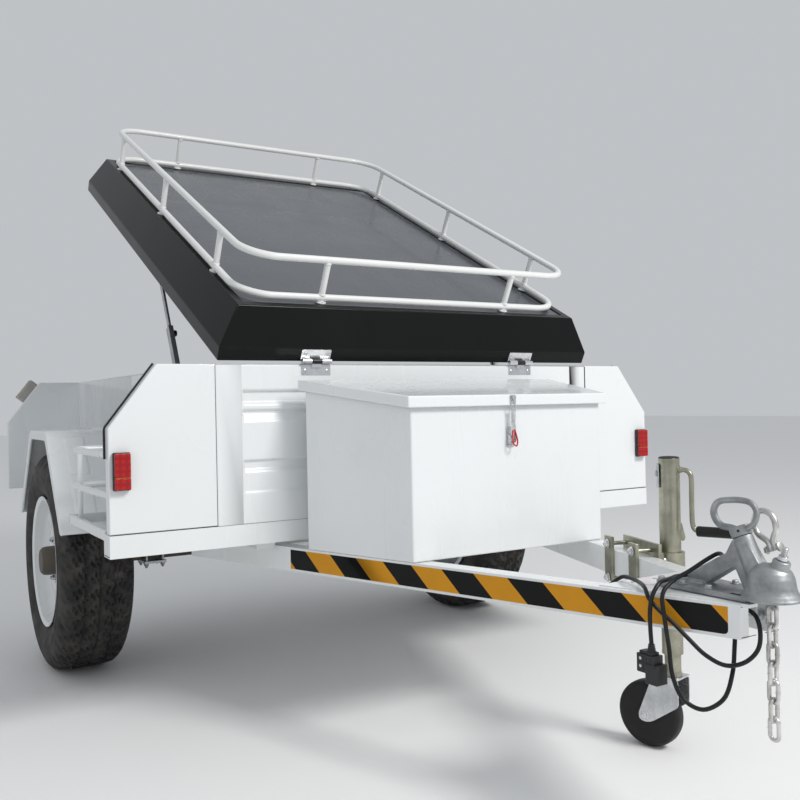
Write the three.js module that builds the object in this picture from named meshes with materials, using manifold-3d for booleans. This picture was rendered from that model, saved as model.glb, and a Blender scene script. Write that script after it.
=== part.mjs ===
// Off-road box trailer with a hinged lid, roof rack, drawbar toolbox and ball coupling.
// Millimetres. +X runs forward to the coupling, +Y to the trailer's left, +Z up.
// The origin lies on the ground under the middle of the trailer.
import * as THREE from 'three';
import { mergeVertices } from 'three/addons/utils/BufferGeometryUtils.js';
import { ConvexGeometry } from 'three/addons/geometries/ConvexGeometry.js';
import Module from 'manifold-3d';

const wasm = await Module();
wasm.setup();

// ---------- driving dimensions ----------
const GAP = 0.3;                 // clearance between neighbouring pieces
const SHEET = 2;                 // folded sheet thickness
const FRONT_X = 218.3;           // plane of the tub's front panel
const TUB_LENGTH = 1555;
const REAR_X = FRONT_X - TUB_LENGTH;
const TUB_HALF = 600;            // half width over the tub's sides
const BODY_HALF = 859;           // half width over wings and mudguards
const FLOOR_Z = 525;
const SILL_Z = 471;              // underside of the front sill
const TUB_TOP = 920;
const CHAMFER_Y = 744;           // wing chamfer: inner top corner
const CHAMFER_Z = 771;           // wing chamfer: outer lower corner

const LID_CORNER = [FRONT_X - 5, 0, 928]; // the lid's lower front edge
const LID_AXIS = [FRONT_X + 8, 928];       // x and z of the hinge pins
const LID_OPEN = THREE.MathUtils.degToRad(27.5);
const LID_LENGTH = 1516;
const LID_HALF = 593;
const LID_SKIRT = 37;
const LID_HEIGHT = 130;
const LID_BEVEL = 50;
const LID_REAR_BEVEL = 25;
const RACK_R = 9.5;
const RACK = { front: 90, rear: 1475, half: 523, low: 143, high: 246, corner: 95 };
const RACK_FRONT_POSTS = [-300, 300];
const RACK_REAR_POSTS = [-285, 285];
const RACK_SIDE_POSTS = [290, 810, 1345];

const RAIL_TOP = 455;            // drawbar rails
const RAIL_BOTTOM = 395;
const RAIL_WIDTH = 42;
const RAIL_TIP_X = FRONT_X + 1080;
const RAIL_TIP_Y = 53.3;         // outer face at the tip
const RAIL_TAPER = 0.331;        // spread of the outer face per unit of length
const RAIL_ANGLE = Math.atan(RAIL_TAPER);
const RAIL_REAR_X = FRONT_X - 390;
const MEMBER_Y = 440;            // inner face of the long members under the tub
const MEMBER_WIDTH = 50;

const BOX_REAR_X = FRONT_X + 66;   // drawbar toolbox
const BOX_FRONT_X = FRONT_X + 390;
const BOX_REAR_HALF = 392;
const BOX_FRONT_HALF = 285;
const BOX_REAR_Z = 850;
const BOX_FRONT_Z = 806;
const BOX_LID_LIP = 27;
const BOX_LID_OVER = 14;

const AXLE_X = FRONT_X - 915;
const TYRE_R = 340;
const TYRE_WIDTH = 218;
const RIM_R = 195;
const TRACK_HALF = 747;
const AXLE_Z = TYRE_R;
const SPRING_Y = 505;
const SPRING_HALF_LENGTH = 330;
const SPRING_EYE_Z = 436;

const ARCH_TOP = 752;            // mudguard
const ARCH_TOP_HALF = 139;
const ARCH_FOOT_HALF = 358;
const ARCH_FOOT_Z = 463;

const JOCKEY_X = FRONT_X + 648;
const JOCKEY_Y = 254;
const JOCKEY_R = 24;
const JOCKEY_TOP = 676;
const JOCKEY_WHEEL_R = 77;

const COUPLING_X = FRONT_X + 1105; // ball centre
const COUPLING_BASE_Z = 457.5;     // underside of the coupling's flange
const PLUNGER_TILT = THREE.MathUtils.degToRad(25);

const CABLE_R = 4;

// ---------- materials ----------
function finish(color, roughness, metalness = 0) {
  return new THREE.MeshStandardMaterial({ color, roughness, metalness });
}
const WHITE = ['#e9edee', 0.3];
const BLACK_GLOSS = ['#0d110f', 0.15];
const GREY_BLUE = ['#565b68', 0.4];
const ZINC = ['#a9a58f', 0.4, 0.8];
const GALVANISED = ['#a3a6a8', 0.5, 0.8];
const BRIGHT = ['#cfd2d4', 0.25, 0.9];
const RED_LENS = ['#a31015', 0.15];
const BLACK_PLASTIC = ['#151515', 0.55];
const RUBBER = ['#1a1a1a', 0.85];

// ---------- helpers ----------
const trailer = new THREE.Group();

function solid(geometry) {
  const bare = geometry.clone();
  bare.deleteAttribute('normal');
  bare.deleteAttribute('uv');
  const merged = mergeVertices(bare, 1e-3);
  const mesh = new wasm.Mesh({
    numProp: 3,
    vertProperties: new Float32Array(merged.attributes.position.array),
    triVerts: new Uint32Array(merged.index.array),
  });
  return new wasm.Manifold(mesh);
}

function toGeometry(body) {
  const mesh = body.getMesh();
  const geometry = new THREE.BufferGeometry();
  geometry.setAttribute('position', new THREE.BufferAttribute(mesh.vertProperties, 3));
  geometry.setIndex(new THREE.BufferAttribute(mesh.triVerts, 1));
  return geometry;
}

function part(name, body, look, parent = trailer) {
  const mesh = new THREE.Mesh(toGeometry(body), finish(...look));
  mesh.name = name;
  parent.add(mesh);
  return mesh;
}

function union(pieces) {
  return pieces.reduce((sum, piece) => sum.add(piece));
}

function block(x0, x1, y0, y1, z0, z1) {
  const geometry = new THREE.BoxGeometry(x1 - x0, y1 - y0, z1 - z0);
  geometry.translate((x0 + x1) / 2, (y0 + y1) / 2, (z0 + z1) / 2);
  return solid(geometry);
}

// A cylinder of radius r from point a to point b.
function rod(r, a, b, sides = 16) {
  const start = new THREE.Vector3(...a);
  const line = new THREE.Vector3(...b).sub(start);
  const geometry = new THREE.CylinderGeometry(r, r, line.length(), sides);
  geometry.applyQuaternion(new THREE.Quaternion().setFromUnitVectors(
    new THREE.Vector3(0, 1, 0), line.clone().normalize()));
  geometry.translate(...start.add(line.multiplyScalar(0.5)).toArray());
  return solid(geometry);
}

// An outline of [u, v] points pushed along an axis: x takes (y, z), y takes (x, z), z takes (x, y).
function prism(points, axis, from, to) {
  const shape = new THREE.Shape(points.map(([u, v]) => new THREE.Vector2(u, v)));
  const geometry = new THREE.ExtrudeGeometry(shape, { depth: to - from, bevelEnabled: false });
  geometry.translate(0, 0, from);
  const turn = new THREE.Matrix4();
  if (axis === 'x') turn.set(0, 0, 1, 0, 1, 0, 0, 0, 0, 1, 0, 0, 0, 0, 0, 1);
  if (axis === 'y') {
    turn.set(1, 0, 0, 0, 0, 0, -1, 0, 0, 1, 0, 0, 0, 0, 0, 1);
    geometry.translate(0, 0, -from - to);
  }
  geometry.applyMatrix4(turn);
  return solid(geometry);
}

function hull(points) {
  return solid(new ConvexGeometry(points.map((p) => new THREE.Vector3(...p))));
}

function circle(r, sides) {
  const shape = new THREE.Shape();
  for (let i = 0; i < sides; i += 1) {
    const a = (2 * Math.PI * i) / sides;
    if (i === 0) shape.moveTo(r, 0);
    else shape.lineTo(r * Math.cos(a), r * Math.sin(a));
  }
  return shape;
}

function tubeAlong(curve, r, steps, sides = 8) {
  return solid(new THREE.ExtrudeGeometry(circle(r, sides), { steps, extrudePath: curve }));
}

function smooth(points, closed = false, tension = 0.5) {
  const list = points.map((p) => new THREE.Vector3(...p));
  return new THREE.CatmullRomCurve3(list, closed, 'centripetal', tension);
}

// A turned shape about +Z, from [radius, height] points that close on themselves or on the axis.
function turned(profile, sides) {
  return solid(new THREE.LatheGeometry(profile.map(([r, z]) => new THREE.Vector2(r, z)), sides)
    .applyMatrix4(new THREE.Matrix4().makeRotationX(Math.PI / 2)));
}

function place(mesh, x, y, z, turn = [0, 0, 0]) {
  mesh.position.set(x, y, z);
  mesh.rotation.set(...turn);
  return mesh;
}

const mirrorY = (points) => points.map(([y, z]) => [-y, z]).reverse();
const sideName = (s) => (s > 0 ? 'left' : 'right');
const SIDES = [-1, 1];

// Where the lid's telescopic stays pivot, and how long they are with the lid up.
const STAY_Y = 566;
const STAY_FOOT = [FRONT_X - 300, 720];
const STAY_HEAD = [-655, 22];      // on the lid, before it is raised
const stayHead = new THREE.Vector3(STAY_HEAD[0], 0, STAY_HEAD[1])
  .applyAxisAngle(new THREE.Vector3(0, 1, 0), LID_OPEN).add(new THREE.Vector3(...LID_CORNER));
const stayAngle = Math.atan2(stayHead.x - STAY_FOOT[0], stayHead.z - STAY_FOOT[1]);
const stayLength = Math.hypot(stayHead.x - STAY_FOOT[0], stayHead.z - STAY_FOOT[1]);
const STAY_CHANNEL = 370;
const STAY_BAR = 330;

function outward(s, a, b) {
  return [s * a, s * b].sort((p, q) => p - q);
}

// The welded bracket on the tub's side that a stay pivots on.
function stayFoot(s) {
  const [x, z] = STAY_FOOT;
  const plate = outward(s, STAY_Y + 8, TUB_HALF - 1);
  return block(x - 18, x + 18, plate[0], plate[1], z - 18, z + 10)
    .add(rod(4, [x, s * (STAY_Y - 9), z], [x, s * (STAY_Y + 9), z], 12));
}

// The lug inside the lid's skirt that a stay's head bolts to.
function stayLug(s) {
  const lug = outward(s, STAY_Y + 5, LID_HALF - 1);
  return block(STAY_HEAD[0] - 16, STAY_HEAD[0] + 16, lug[0], lug[1], STAY_HEAD[1] - 14, STAY_HEAD[1] + 12);
}

// ---------- chassis ----------
function railOuter(x) {
  return RAIL_TIP_Y + (RAIL_TIP_X - x) * RAIL_TAPER;
}

function drawbarRail(s) {
  const skew = RAIL_WIDTH / Math.cos(RAIL_ANGLE);
  const outline = [
    [RAIL_REAR_X, s * railOuter(RAIL_REAR_X)], [RAIL_TIP_X, s * RAIL_TIP_Y],
    [RAIL_TIP_X, s * (RAIL_TIP_Y - skew)], [RAIL_REAR_X, s * (railOuter(RAIL_REAR_X) - skew)],
  ];
  return prism(s > 0 ? outline.reverse() : outline, 'z', RAIL_BOTTOM, RAIL_TOP);
}

const CHAIN_X = RAIL_TIP_X + 8;
const CHAIN_Y = 22;
const CHAIN_TOP = 438;

// The eye that the chain hangs on, under the front edge of the drawbar plate.
function chainEye() {
  const top = RAIL_TOP - 3;
  const tab = block(CHAIN_X - 5, CHAIN_X + 5, CHAIN_Y + 9, CHAIN_Y + 13, CHAIN_TOP - 5, top);
  return tab.add(rod(3.5, [CHAIN_X, CHAIN_Y - 5, CHAIN_TOP], [CHAIN_X, CHAIN_Y + 11, CHAIN_TOP], 8));
}
// The folded beam across the front, under the tub and the wings.
function frontSill() {
  const outer = block(FRONT_X - 55, FRONT_X, -BODY_HALF, BODY_HALF, SILL_Z, FLOOR_Z - GAP);
  const inner = block(FRONT_X - 60, FRONT_X - 3, -BODY_HALF + 3, BODY_HALF - 3, SILL_Z + 3, FLOOR_Z - 3.3);
  return outer.subtract(inner);
}

// The hook inside the rails' tip that holds the cable's hidden turn.
function cableHook() {
  const x = FRONT_X + 1057;
  return rod(3, [x, -20, 425], [x, 14, 425], 8).add(block(x - 5, x + 5, 12, 17, 420, RAIL_TOP - 3));
}

function chassis() {
  const memberTop = FLOOR_Z - 1;
  const pieces = [drawbarRail(-1), drawbarRail(1), frontSill()];
  for (const s of SIDES) {
    const y = [s * MEMBER_Y, s * (MEMBER_Y + MEMBER_WIDTH)].sort((a, b) => a - b);
    pieces.push(block(REAR_X + 20, FRONT_X - 30, y[0], y[1], RAIL_TOP - 1, memberTop));
    for (const end of [-1, 1]) {
      const x = AXLE_X + end * SPRING_HALF_LENGTH;
      const inner = s * (MEMBER_Y + MEMBER_WIDTH - 20);
      const outer = s * (SPRING_Y + 32);
      const plate = [Math.min(inner, outer), Math.max(inner, outer)];
      pieces.push(block(x - 32, x + 32, plate[0], plate[1], SPRING_EYE_Z + 27, 488));
      for (const face of [-1, 1]) {
        const f = s * SPRING_Y + face * 29;
        pieces.push(block(x - 22, x + 22, f - 3, f + 3, SPRING_EYE_Z - 20, SPRING_EYE_Z + 30));
      }
      pieces.push(rod(7, [x, s * SPRING_Y - 38, SPRING_EYE_Z], [x, s * SPRING_Y + 38, SPRING_EYE_Z], 10));
    }
  }
  for (const x of [REAR_X + 20, AXLE_X + 250, FRONT_X - 100]) {
    pieces.push(block(x, x + 40, -MEMBER_Y - 10, MEMBER_Y + 10, SILL_Z + 4, memberTop - 1));
  }
  pieces.push(block(FRONT_X - 120, FRONT_X - 70, -railOuter(FRONT_X - 100) + 20,
    railOuter(FRONT_X - 100) - 20, RAIL_BOTTOM + 2, RAIL_TOP - 2));
  const plateRear = FRONT_X + 815;
  const plateFront = RAIL_TIP_X + 14;
  pieces.push(prism([
    [plateRear, -railOuter(plateRear) + 12], [plateFront, -RAIL_TIP_Y + 8],
    [plateFront, RAIL_TIP_Y - 8], [plateRear, railOuter(plateRear) - 12],
  ], 'z', RAIL_TOP - 4, RAIL_TOP + 2));
  const recess = block(RAIL_TIP_X - 95, RAIL_TIP_X + 20, -31, 31, RAIL_BOTTOM - 1, RAIL_TOP - 4);
  const ballHole = rod(26, [COUPLING_X, 0, RAIL_TOP - 10], [COUPLING_X, 0, RAIL_TOP + 10], 24);
  return union([union(pieces).subtract(recess).subtract(ballHole), chainEye(), cableHook()]);
}

part('chassis', chassis(), WHITE);

// ---------- tub ----------
// The pressed bands of a panel: [height, depth] from the top down.
const FRONT_BANDS = [
  [856, 0], [854, 10], [826, 10], [818, 2], [808, 2], [804, 10], [796, 10], [775, 0],
  [683, 0], [679, 9], [660, 9], [650, 3], [606, 3], [598, 0], [535, 0],
];
const SIDE_BANDS = [
  [856, 0], [852, 10], [826, 10], [818, 0], [770, 0], [766, 10], [740, 10], [732, 0],
  [684, 0], [680, 10], [654, 10], [646, 0], [560, 0],
];

function pressedSheet(bands, face, axis, from, to) {
  const outer = bands.map(([z, d]) => [face(d), z]);
  const inner = bands.map(([z, d]) => [face(d + SHEET), z]).reverse();
  const outline = outer.concat(inner);
  return prism(outline, axis, from, to);
}

function tub() {
  const shell = block(REAR_X, FRONT_X, -TUB_HALF, TUB_HALF, FLOOR_Z, TUB_TOP).subtract(
    block(REAR_X - 5, FRONT_X - SHEET, -TUB_HALF + SHEET, TUB_HALF - SHEET, FLOOR_Z + SHEET, TUB_TOP + 5));
  const top = FRONT_BANDS[0][0] - 1;
  const foot = FRONT_BANDS[FRONT_BANDS.length - 1][0] + 1;
  const windowHalf = 535;
  const sideFront = FRONT_X - 60;
  const sideRear = AXLE_X + 155;
  let body = shell.subtract(
    block(FRONT_X - 5, FRONT_X + 5, -windowHalf, windowHalf, foot, top));
  const grow = [];
  grow.push(pressedSheet(FRONT_BANDS, (d) => FRONT_X - d, 'y', -windowHalf, windowHalf));
  for (const s of SIDES) {
    const end = s * windowHalf;
    grow.push(block(FRONT_X - 12, FRONT_X - GAP, Math.min(end, end + s * SHEET),
      Math.max(end, end + s * SHEET), foot - 1, top + 1));
    const y = [s * (TUB_HALF - 5), s * (TUB_HALF + 5)].sort((a, b) => a - b);
    body = body.subtract(block(sideRear, sideFront, y[0], y[1], 561, top));
    grow.push(pressedSheet(SIDE_BANDS, (d) => s * (TUB_HALF - d), 'x', sideRear, sideFront));
    for (const x of [sideRear - SHEET, sideFront]) {
      const cap = [s * (TUB_HALF - 12), s * (TUB_HALF - GAP)].sort((a, b) => a - b);
      grow.push(block(x, x + SHEET, cap[0], cap[1], 560, top + 1));
    }
    // Folded top edge of each side, and the corner post that the tailgate shuts against.
    const fold = [s * (TUB_HALF - 22), s * (TUB_HALF - 1)].sort((a, b) => a - b);
    grow.push(block(REAR_X, FRONT_X - 1, fold[0], fold[1], TUB_TOP - SHEET, TUB_TOP));
    const post = [s * (TUB_HALF - 32), s * (TUB_HALF - 1)].sort((a, b) => a - b);
    grow.push(block(REAR_X, REAR_X + SHEET, post[0], post[1], FLOOR_Z, TUB_TOP), stayFoot(s));
  }
  grow.push(block(FRONT_X - 22, FRONT_X - 1, -TUB_HALF + 1, TUB_HALF - 1, TUB_TOP - SHEET, TUB_TOP));
  return union([body, ...grow]);
}
part('tub', tub(), WHITE);

// ---------- wings ----------
function wingOutline(inset) {
  const slope = Math.hypot(TUB_TOP - CHAMFER_Z, BODY_HALF - CHAMFER_Y);
  const shift = (inset * slope) / (TUB_TOP - CHAMFER_Z);
  const rise = (inset * slope) / (BODY_HALF - CHAMFER_Y);
  const topY = CHAMFER_Y - shift + (inset * (BODY_HALF - CHAMFER_Y)) / (TUB_TOP - CHAMFER_Z);
  const sideZ = CHAMFER_Z - rise + (inset * (TUB_TOP - CHAMFER_Z)) / (BODY_HALF - CHAMFER_Y);
  return [
    [TUB_HALF + GAP, FLOOR_Z + inset], [BODY_HALF - inset, FLOOR_Z + inset],
    [BODY_HALF - inset, sideZ], [topY, TUB_TOP - inset], [TUB_HALF + GAP, TUB_TOP - inset],
  ];
}

function wing(s, faceX, backX, sheetAtFront) {
  const low = Math.min(faceX, backX);
  const high = Math.max(faceX, backX);
  const side = (points) => (s > 0 ? points : mirrorY(points));
  const body = prism(side(wingOutline(0)), 'x', low, high);
  const hollowInner = wingOutline(SHEET).map(([y, z]) => [y === TUB_HALF + GAP ? y - 5 : y, z]);
  const hollow = sheetAtFront
    ? prism(side(hollowInner), 'x', low - 5, high - SHEET)
    : prism(side(hollowInner), 'x', low + SHEET, high - SHEET);
  return body.subtract(hollow);
}
for (const s of SIDES) {
  part(`front_wing_${sideName(s)}`, wing(s, FRONT_X, FRONT_X - 30, true), WHITE);
  const drain = s > 0 ? block(REAR_X + 5, REAR_X + 20, 640, 800, FLOOR_Z - 5, FLOOR_Z + 10)
    : block(REAR_X + 5, REAR_X + 20, -800, -640, FLOOR_Z - 5, FLOOR_Z + 10);
  part(`rear_wing_${sideName(s)}`, wing(s, REAR_X, REAR_X + 25, false).subtract(drain), WHITE);
}

// ---------- mudguards ----------
function archOutline(inset) {
  return [
    [AXLE_X - ARCH_FOOT_HALF + inset, ARCH_FOOT_Z], [AXLE_X - ARCH_TOP_HALF + inset * 0.55, ARCH_TOP - inset],
    [AXLE_X + ARCH_TOP_HALF - inset * 0.55, ARCH_TOP - inset], [AXLE_X + ARCH_FOOT_HALF - inset, ARCH_FOOT_Z],
  ];
}

function mudguard(s) {
  const y = [s * (TUB_HALF + GAP), s * BODY_HALF].sort((a, b) => a - b);
  const cover = prism(archOutline(0).reverse(), 'y', y[0], y[1]);
  const lower = (points) => points.map(([x, z], i) => [x, i === 0 || i === 3 ? z - 5 : z]);
  const hollow = prism(lower(archOutline(3)).reverse(), 'y',
    s > 0 ? y[0] - 5 : y[0] + SHEET, s > 0 ? y[1] - SHEET : y[1] + 5);
  const mouth = prism(lower(archOutline(30)).reverse(), 'y', y[0] - 5, y[1] + 5);
  return cover.subtract(hollow).subtract(mouth);
}
for (const s of SIDES) part(`mudguard_${sideName(s)}`, mudguard(s), WHITE);

// ---------- side bays ----------
const BAY_FRONT_X = FRONT_X - 32;

function sideBay(s) {
  const y = (a, b) => [s * a, s * b].sort((p, q) => p - q);
  const outer = BODY_HALF - 4;
  const frontX = BAY_FRONT_X;
  const trayFront = FRONT_X - 55 - GAP;
  const railX = FRONT_X - 425;
  const railR = 9;
  const tray = y(TUB_HALF + GAP, outer);
  const pieces = [block(railX - 40, trayFront, tray[0], tray[1], 503, 506)];
  const lip = y(outer - 3, outer);
  pieces.push(block(railX - 40, trayFront, lip[0], lip[1], 503, 530));
  const endLip = y(TUB_HALF + GAP, outer);
  pieces.push(block(railX - 40, railX - 37, endLip[0], endLip[1], 503, 530));
  for (const z of [612, 708]) {
    const rail = smooth([
      [frontX, s * (outer - railR), z], [railX + 30, s * (outer - railR), z],
      [railX + 8, s * (outer - railR - 6), z], [railX, s * (outer - railR - 26), z],
      [railX, s * (TUB_HALF + 9), z],
    ]);
    pieces.push(tubeAlong(rail, railR, 8, 6));
  }
  const postY = s * (outer - railR - 10);
  pieces.push(rod(7, [railX + 14, postY, 504], [railX + 14, postY, 708], 8));
  return union(pieces);
}
for (const s of SIDES) part(`side_bay_${sideName(s)}`, sideBay(s), WHITE);

// ---------- tailgate ----------
const GATE_HALF = TUB_HALF - 4;
const GATE_X = REAR_X - GAP;
const GATE_PIVOT_Z = FLOOR_Z - 12;

function tailgate() {
  const frame = block(GATE_X - 18, GATE_X, -GATE_HALF, GATE_HALF, FLOOR_Z + 2, TUB_TOP - 1).subtract(
    block(GATE_X - 16, GATE_X + 5, -GATE_HALF + 2, GATE_HALF - 2, FLOOR_Z + 4, TUB_TOP - 3));
  const knuckles = [-400, 0, 400].map((y) => {
    const barrel = rod(8, [GATE_X - 10, y - 30, GATE_PIVOT_Z], [GATE_X - 10, y + 30, GATE_PIVOT_Z], 12);
    return barrel.add(block(GATE_X - 16, GATE_X - 12, y - 28, y + 28, GATE_PIVOT_Z, FLOOR_Z + 40));
  });
  return union([frame, ...knuckles]);
}
part('tailgate', tailgate(), WHITE);

function gateHinge(y) {
  const x = GATE_X - 10;
  return block(x - 3, REAR_X + 20 - GAP, y - 14, y + 14, GATE_PIVOT_Z - 16, GATE_PIVOT_Z - 12)
    .add(rod(8, [x, y - 14, GATE_PIVOT_Z], [x, y + 14, GATE_PIVOT_Z], 12))
    .add(block(x - 3, x + 3, y - 14, y + 14, GATE_PIVOT_Z - 16, GATE_PIVOT_Z));
}
for (const s of SIDES) part(`tailgate_hinge_${sideName(s)}`, gateHinge(s * 445), GALVANISED);

for (const s of SIDES) {
  const y = s * (GATE_HALF - 70);
  const z = TUB_TOP - 110;
  const x = GATE_X - 18 - GAP;
  const knob = rod(16, [x - 10, y, z], [x, y, z], 16)
    .add(block(x - 22, x - 8, y - 9, y + 9, z - 70, z + 12));
  part(`tailgate_latch_${sideName(s)}`, knob, BRIGHT);
}

// ---------- lid and roof rack (built flat, then raised about the hinge) ----------
const lid = new THREE.Group();
lid.position.set(...LID_CORNER);
lid.rotation.y = LID_OPEN;
trailer.add(lid);

function lidShell() {
  const form = (t) => hull([
    ...[[-t, 0], [-LID_LENGTH + t, 0], [-t, LID_SKIRT], [-LID_LENGTH + t, LID_SKIRT]].flatMap(([x, z]) => [
      [x, -LID_HALF + t, t ? (z || -5) : z], [x, LID_HALF - t, t ? (z || -5) : z]]),
    ...[-LID_BEVEL, -LID_LENGTH + LID_REAR_BEVEL].flatMap((x, i) => [-1, 1].map((s) => [
      x + (i ? t : -t), s * (LID_HALF - LID_BEVEL - t), LID_HEIGHT - (t ? t + 4 : 0)])),
  ]);
  const recess = block(-LID_LENGTH + LID_REAR_BEVEL + 24, -LID_BEVEL - 24,
    -LID_HALF + LID_BEVEL + 24, LID_HALF - LID_BEVEL - 24, LID_HEIGHT - 4, LID_HEIGHT + 5);
  return union([form(0).subtract(form(SHEET)).subtract(recess), stayLug(-1), stayLug(1)]);
}
part('lid_shell', lidShell(), BLACK_GLOSS, lid);

part('roof_panel', block(-LID_LENGTH + LID_REAR_BEVEL + 25, -LID_BEVEL - 25,
  -LID_HALF + LID_BEVEL + 25, LID_HALF - LID_BEVEL - 25, LID_HEIGHT - 3.7, LID_HEIGHT - 2.1), GREY_BLUE, lid);

// A closed rounded rectangle of rail at height z.
function rackRail(z) {
  const { front, rear, half, corner } = RACK;
  const pieces = [];
  const corners = [[-front, -half], [-front, half], [-rear, half], [-rear, -half]];
  const middle = [-(front + rear) / 2, 0];
  corners.forEach(([x, y], i) => {
    const dx = Math.sign(middle[0] - x) * corner;
    const dy = Math.sign(middle[1] - y) * corner;
    const bend = [];
    for (let k = 0; k <= 3; k += 1) {
      const a = (Math.PI / 2) * (k / 3);
      bend.push(new THREE.Vector3(x + dx * (1 - Math.cos(a)), y + dy * (1 - Math.sin(a)), z));
    }
    pieces.push(tubeAlong(new THREE.CatmullRomCurve3(bend), RACK_R, 4));
    const next = corners[(i + 1) % 4];
    const alongY = next[0] === x;
    const from = alongY ? [x, y + dy - Math.sign(dy), z] : [x + dx - Math.sign(dx), y, z];
    const to = alongY ? [x, next[1] - dy + Math.sign(dy), z] : [next[0] - dx + Math.sign(dx), y, z];
    pieces.push(rod(RACK_R, from, to, 8));
  });
  return union(pieces);
}

function roofRack() {
  const { front, rear, half, low, high } = RACK;
  const spots = [
    ...RACK_FRONT_POSTS.map((y) => [-front, y]), ...RACK_REAR_POSTS.map((y) => [-rear, y]),
    ...RACK_SIDE_POSTS.flatMap((u) => [[-u, -half], [-u, half]]),
  ];
  const posts = spots.map(([x, y]) => rod(RACK_R - 1, [x, y, low], [x, y, high], 6));
  const feet = spots.map(([x, y]) => block(x - 15, x + 15, y - 15, y + 15, LID_HEIGHT + GAP, low - 4));
  return union([rackRail(low), rackRail(high), ...posts, ...feet]);
}
part('roof_rack', roofRack(), WHITE, lid);

// ---------- lid hinges: a leaf on the tub, a leaf on the lid, one pin line ----------
const HINGE_Y = [-330, 340];
const HINGE_HALF = 42;
const KNUCKLE_R = 7;
const KNUCKLE_HALF = 14;
// The pin line in the lid's own frame.
const pinInLid = new THREE.Vector3(LID_AXIS[0] - LID_CORNER[0], 0, LID_AXIS[1] - LID_CORNER[2])
  .applyAxisAngle(new THREE.Vector3(0, 1, 0), -LID_OPEN);

for (const y of HINGE_Y) {
  const name = sideName(Math.sign(y));
  const [pinX, pinZ] = LID_AXIS;
  const x = FRONT_X + GAP;
  const tubLeaf = block(x, x + 3, y - HINGE_HALF, y + HINGE_HALF, pinZ - 36, TUB_TOP)
    .add(rod(KNUCKLE_R, [pinX, y - KNUCKLE_HALF, pinZ], [pinX, y + KNUCKLE_HALF, pinZ], 12))
    .add(block(x, pinX, y - 13.5, y + 13.5, pinZ - 18, pinZ - 2));
  part(`hinge_leaf_tub_${name}`, tubLeaf, BRIGHT);
  const knuckles = [-1, 1].map((end) => rod(KNUCKLE_R,
    [pinInLid.x, y + end * (KNUCKLE_HALF + GAP), pinInLid.z],
    [pinInLid.x, y + end * HINGE_HALF, pinInLid.z], 12).add(
    block(1, pinInLid.x, y + Math.min(end * (KNUCKLE_HALF + 1), end * HINGE_HALF),
      y + Math.max(end * (KNUCKLE_HALF + 1), end * HINGE_HALF), 4, 9)));
  const lidLeaf = block(GAP, GAP + 3, y - HINGE_HALF, y + HINGE_HALF, 4, 34);
  part(`hinge_leaf_lid_${name}`, union([lidLeaf, ...knuckles]), BRIGHT, lid);
}

// ---------- lid stays ----------
for (const s of SIDES) {
  const name = sideName(s);
  const stay = new THREE.Group();
  place(stay, STAY_FOOT[0], s * STAY_Y, STAY_FOOT[1], [0, stayAngle, 0]);
  trailer.add(stay);
  const slot = outward(s, -9, -2);
  const channel = block(-12, 12, -7, 7, -12, STAY_CHANNEL)
    .subtract(block(-9.5, 9.5, -4.5, 4.5, 14, STAY_CHANNEL + 5))
    .subtract(block(-4, 4, slot[0], slot[1], 40, STAY_CHANNEL - 20))
    .subtract(rod(4.4, [0, -10, 0], [0, 10, 0], 12));
  part(`stay_channel_${name}`, channel, GALVANISED, stay);
  part(`stay_bar_${name}`, block(-8.5, 8.5, -3.5, 3.5, stayLength - STAY_BAR, stayLength + 8), GALVANISED, stay);
}

// ---------- toolbox ----------
function boxOutline(t) {
  return [
    [BOX_REAR_X + t, -BOX_REAR_HALF + t], [BOX_FRONT_X - t, -BOX_FRONT_HALF + t],
    [BOX_FRONT_X - t, BOX_FRONT_HALF - t], [BOX_REAR_X + t, BOX_REAR_HALF - t],
  ];
}

// The box's top edge slopes down to the front.
function boxTop(x, lift) {
  return BOX_REAR_Z + ((BOX_FRONT_Z - BOX_REAR_Z) * (x - BOX_REAR_X)) / (BOX_FRONT_X - BOX_REAR_X) + lift;
}

function belowSlope(lift, low) {
  const x0 = BOX_REAR_X - 60;
  const x1 = BOX_FRONT_X + 60;
  return prism([[x0, low], [x1, low], [x1, boxTop(x1, lift)], [x0, boxTop(x0, lift)]], 'y', -500, 500);
}

function toolbox() {
  const outside = prism(boxOutline(0), 'z', RAIL_TOP + GAP, 1000);
  const inside = prism(boxOutline(SHEET), 'z', RAIL_TOP + SHEET + GAP, 1000);
  return outside.subtract(inside).intersect(belowSlope(12, 0));
}
part('toolbox', toolbox(), WHITE);

const LATCH_Y = -6;
const latchZ = boxTop(BOX_FRONT_X, 0);

// The hooked plate on the lid's lip that the latch pulls down on.
function latchCatch() {
  const x = BOX_FRONT_X + BOX_LID_OVER - 1;
  const z = latchZ + 4;
  return block(x, x + 2.5, LATCH_Y - 9, LATCH_Y + 9, z - 2, z + 20)
    .add(block(x, x + 9, LATCH_Y - 5, LATCH_Y + 5, z + 12, z + 15))
    .add(block(x + 7, x + 9, LATCH_Y - 5, LATCH_Y + 5, z + 12, z + 22));
}

function toolboxLid() {
  const outside = prism(boxOutline(-BOX_LID_OVER), 'z', 700, 1000);
  const inside = prism(boxOutline(-BOX_LID_OVER + SHEET), 'z', 699, 1001);
  const cover = outside.intersect(belowSlope(BOX_LID_LIP, 700)).subtract(belowSlope(0, 600));
  const hollow = inside.intersect(belowSlope(BOX_LID_LIP - SHEET, 600));
  return cover.subtract(hollow).add(latchCatch());
}
part('toolbox_lid', toolboxLid(), WHITE);

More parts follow.
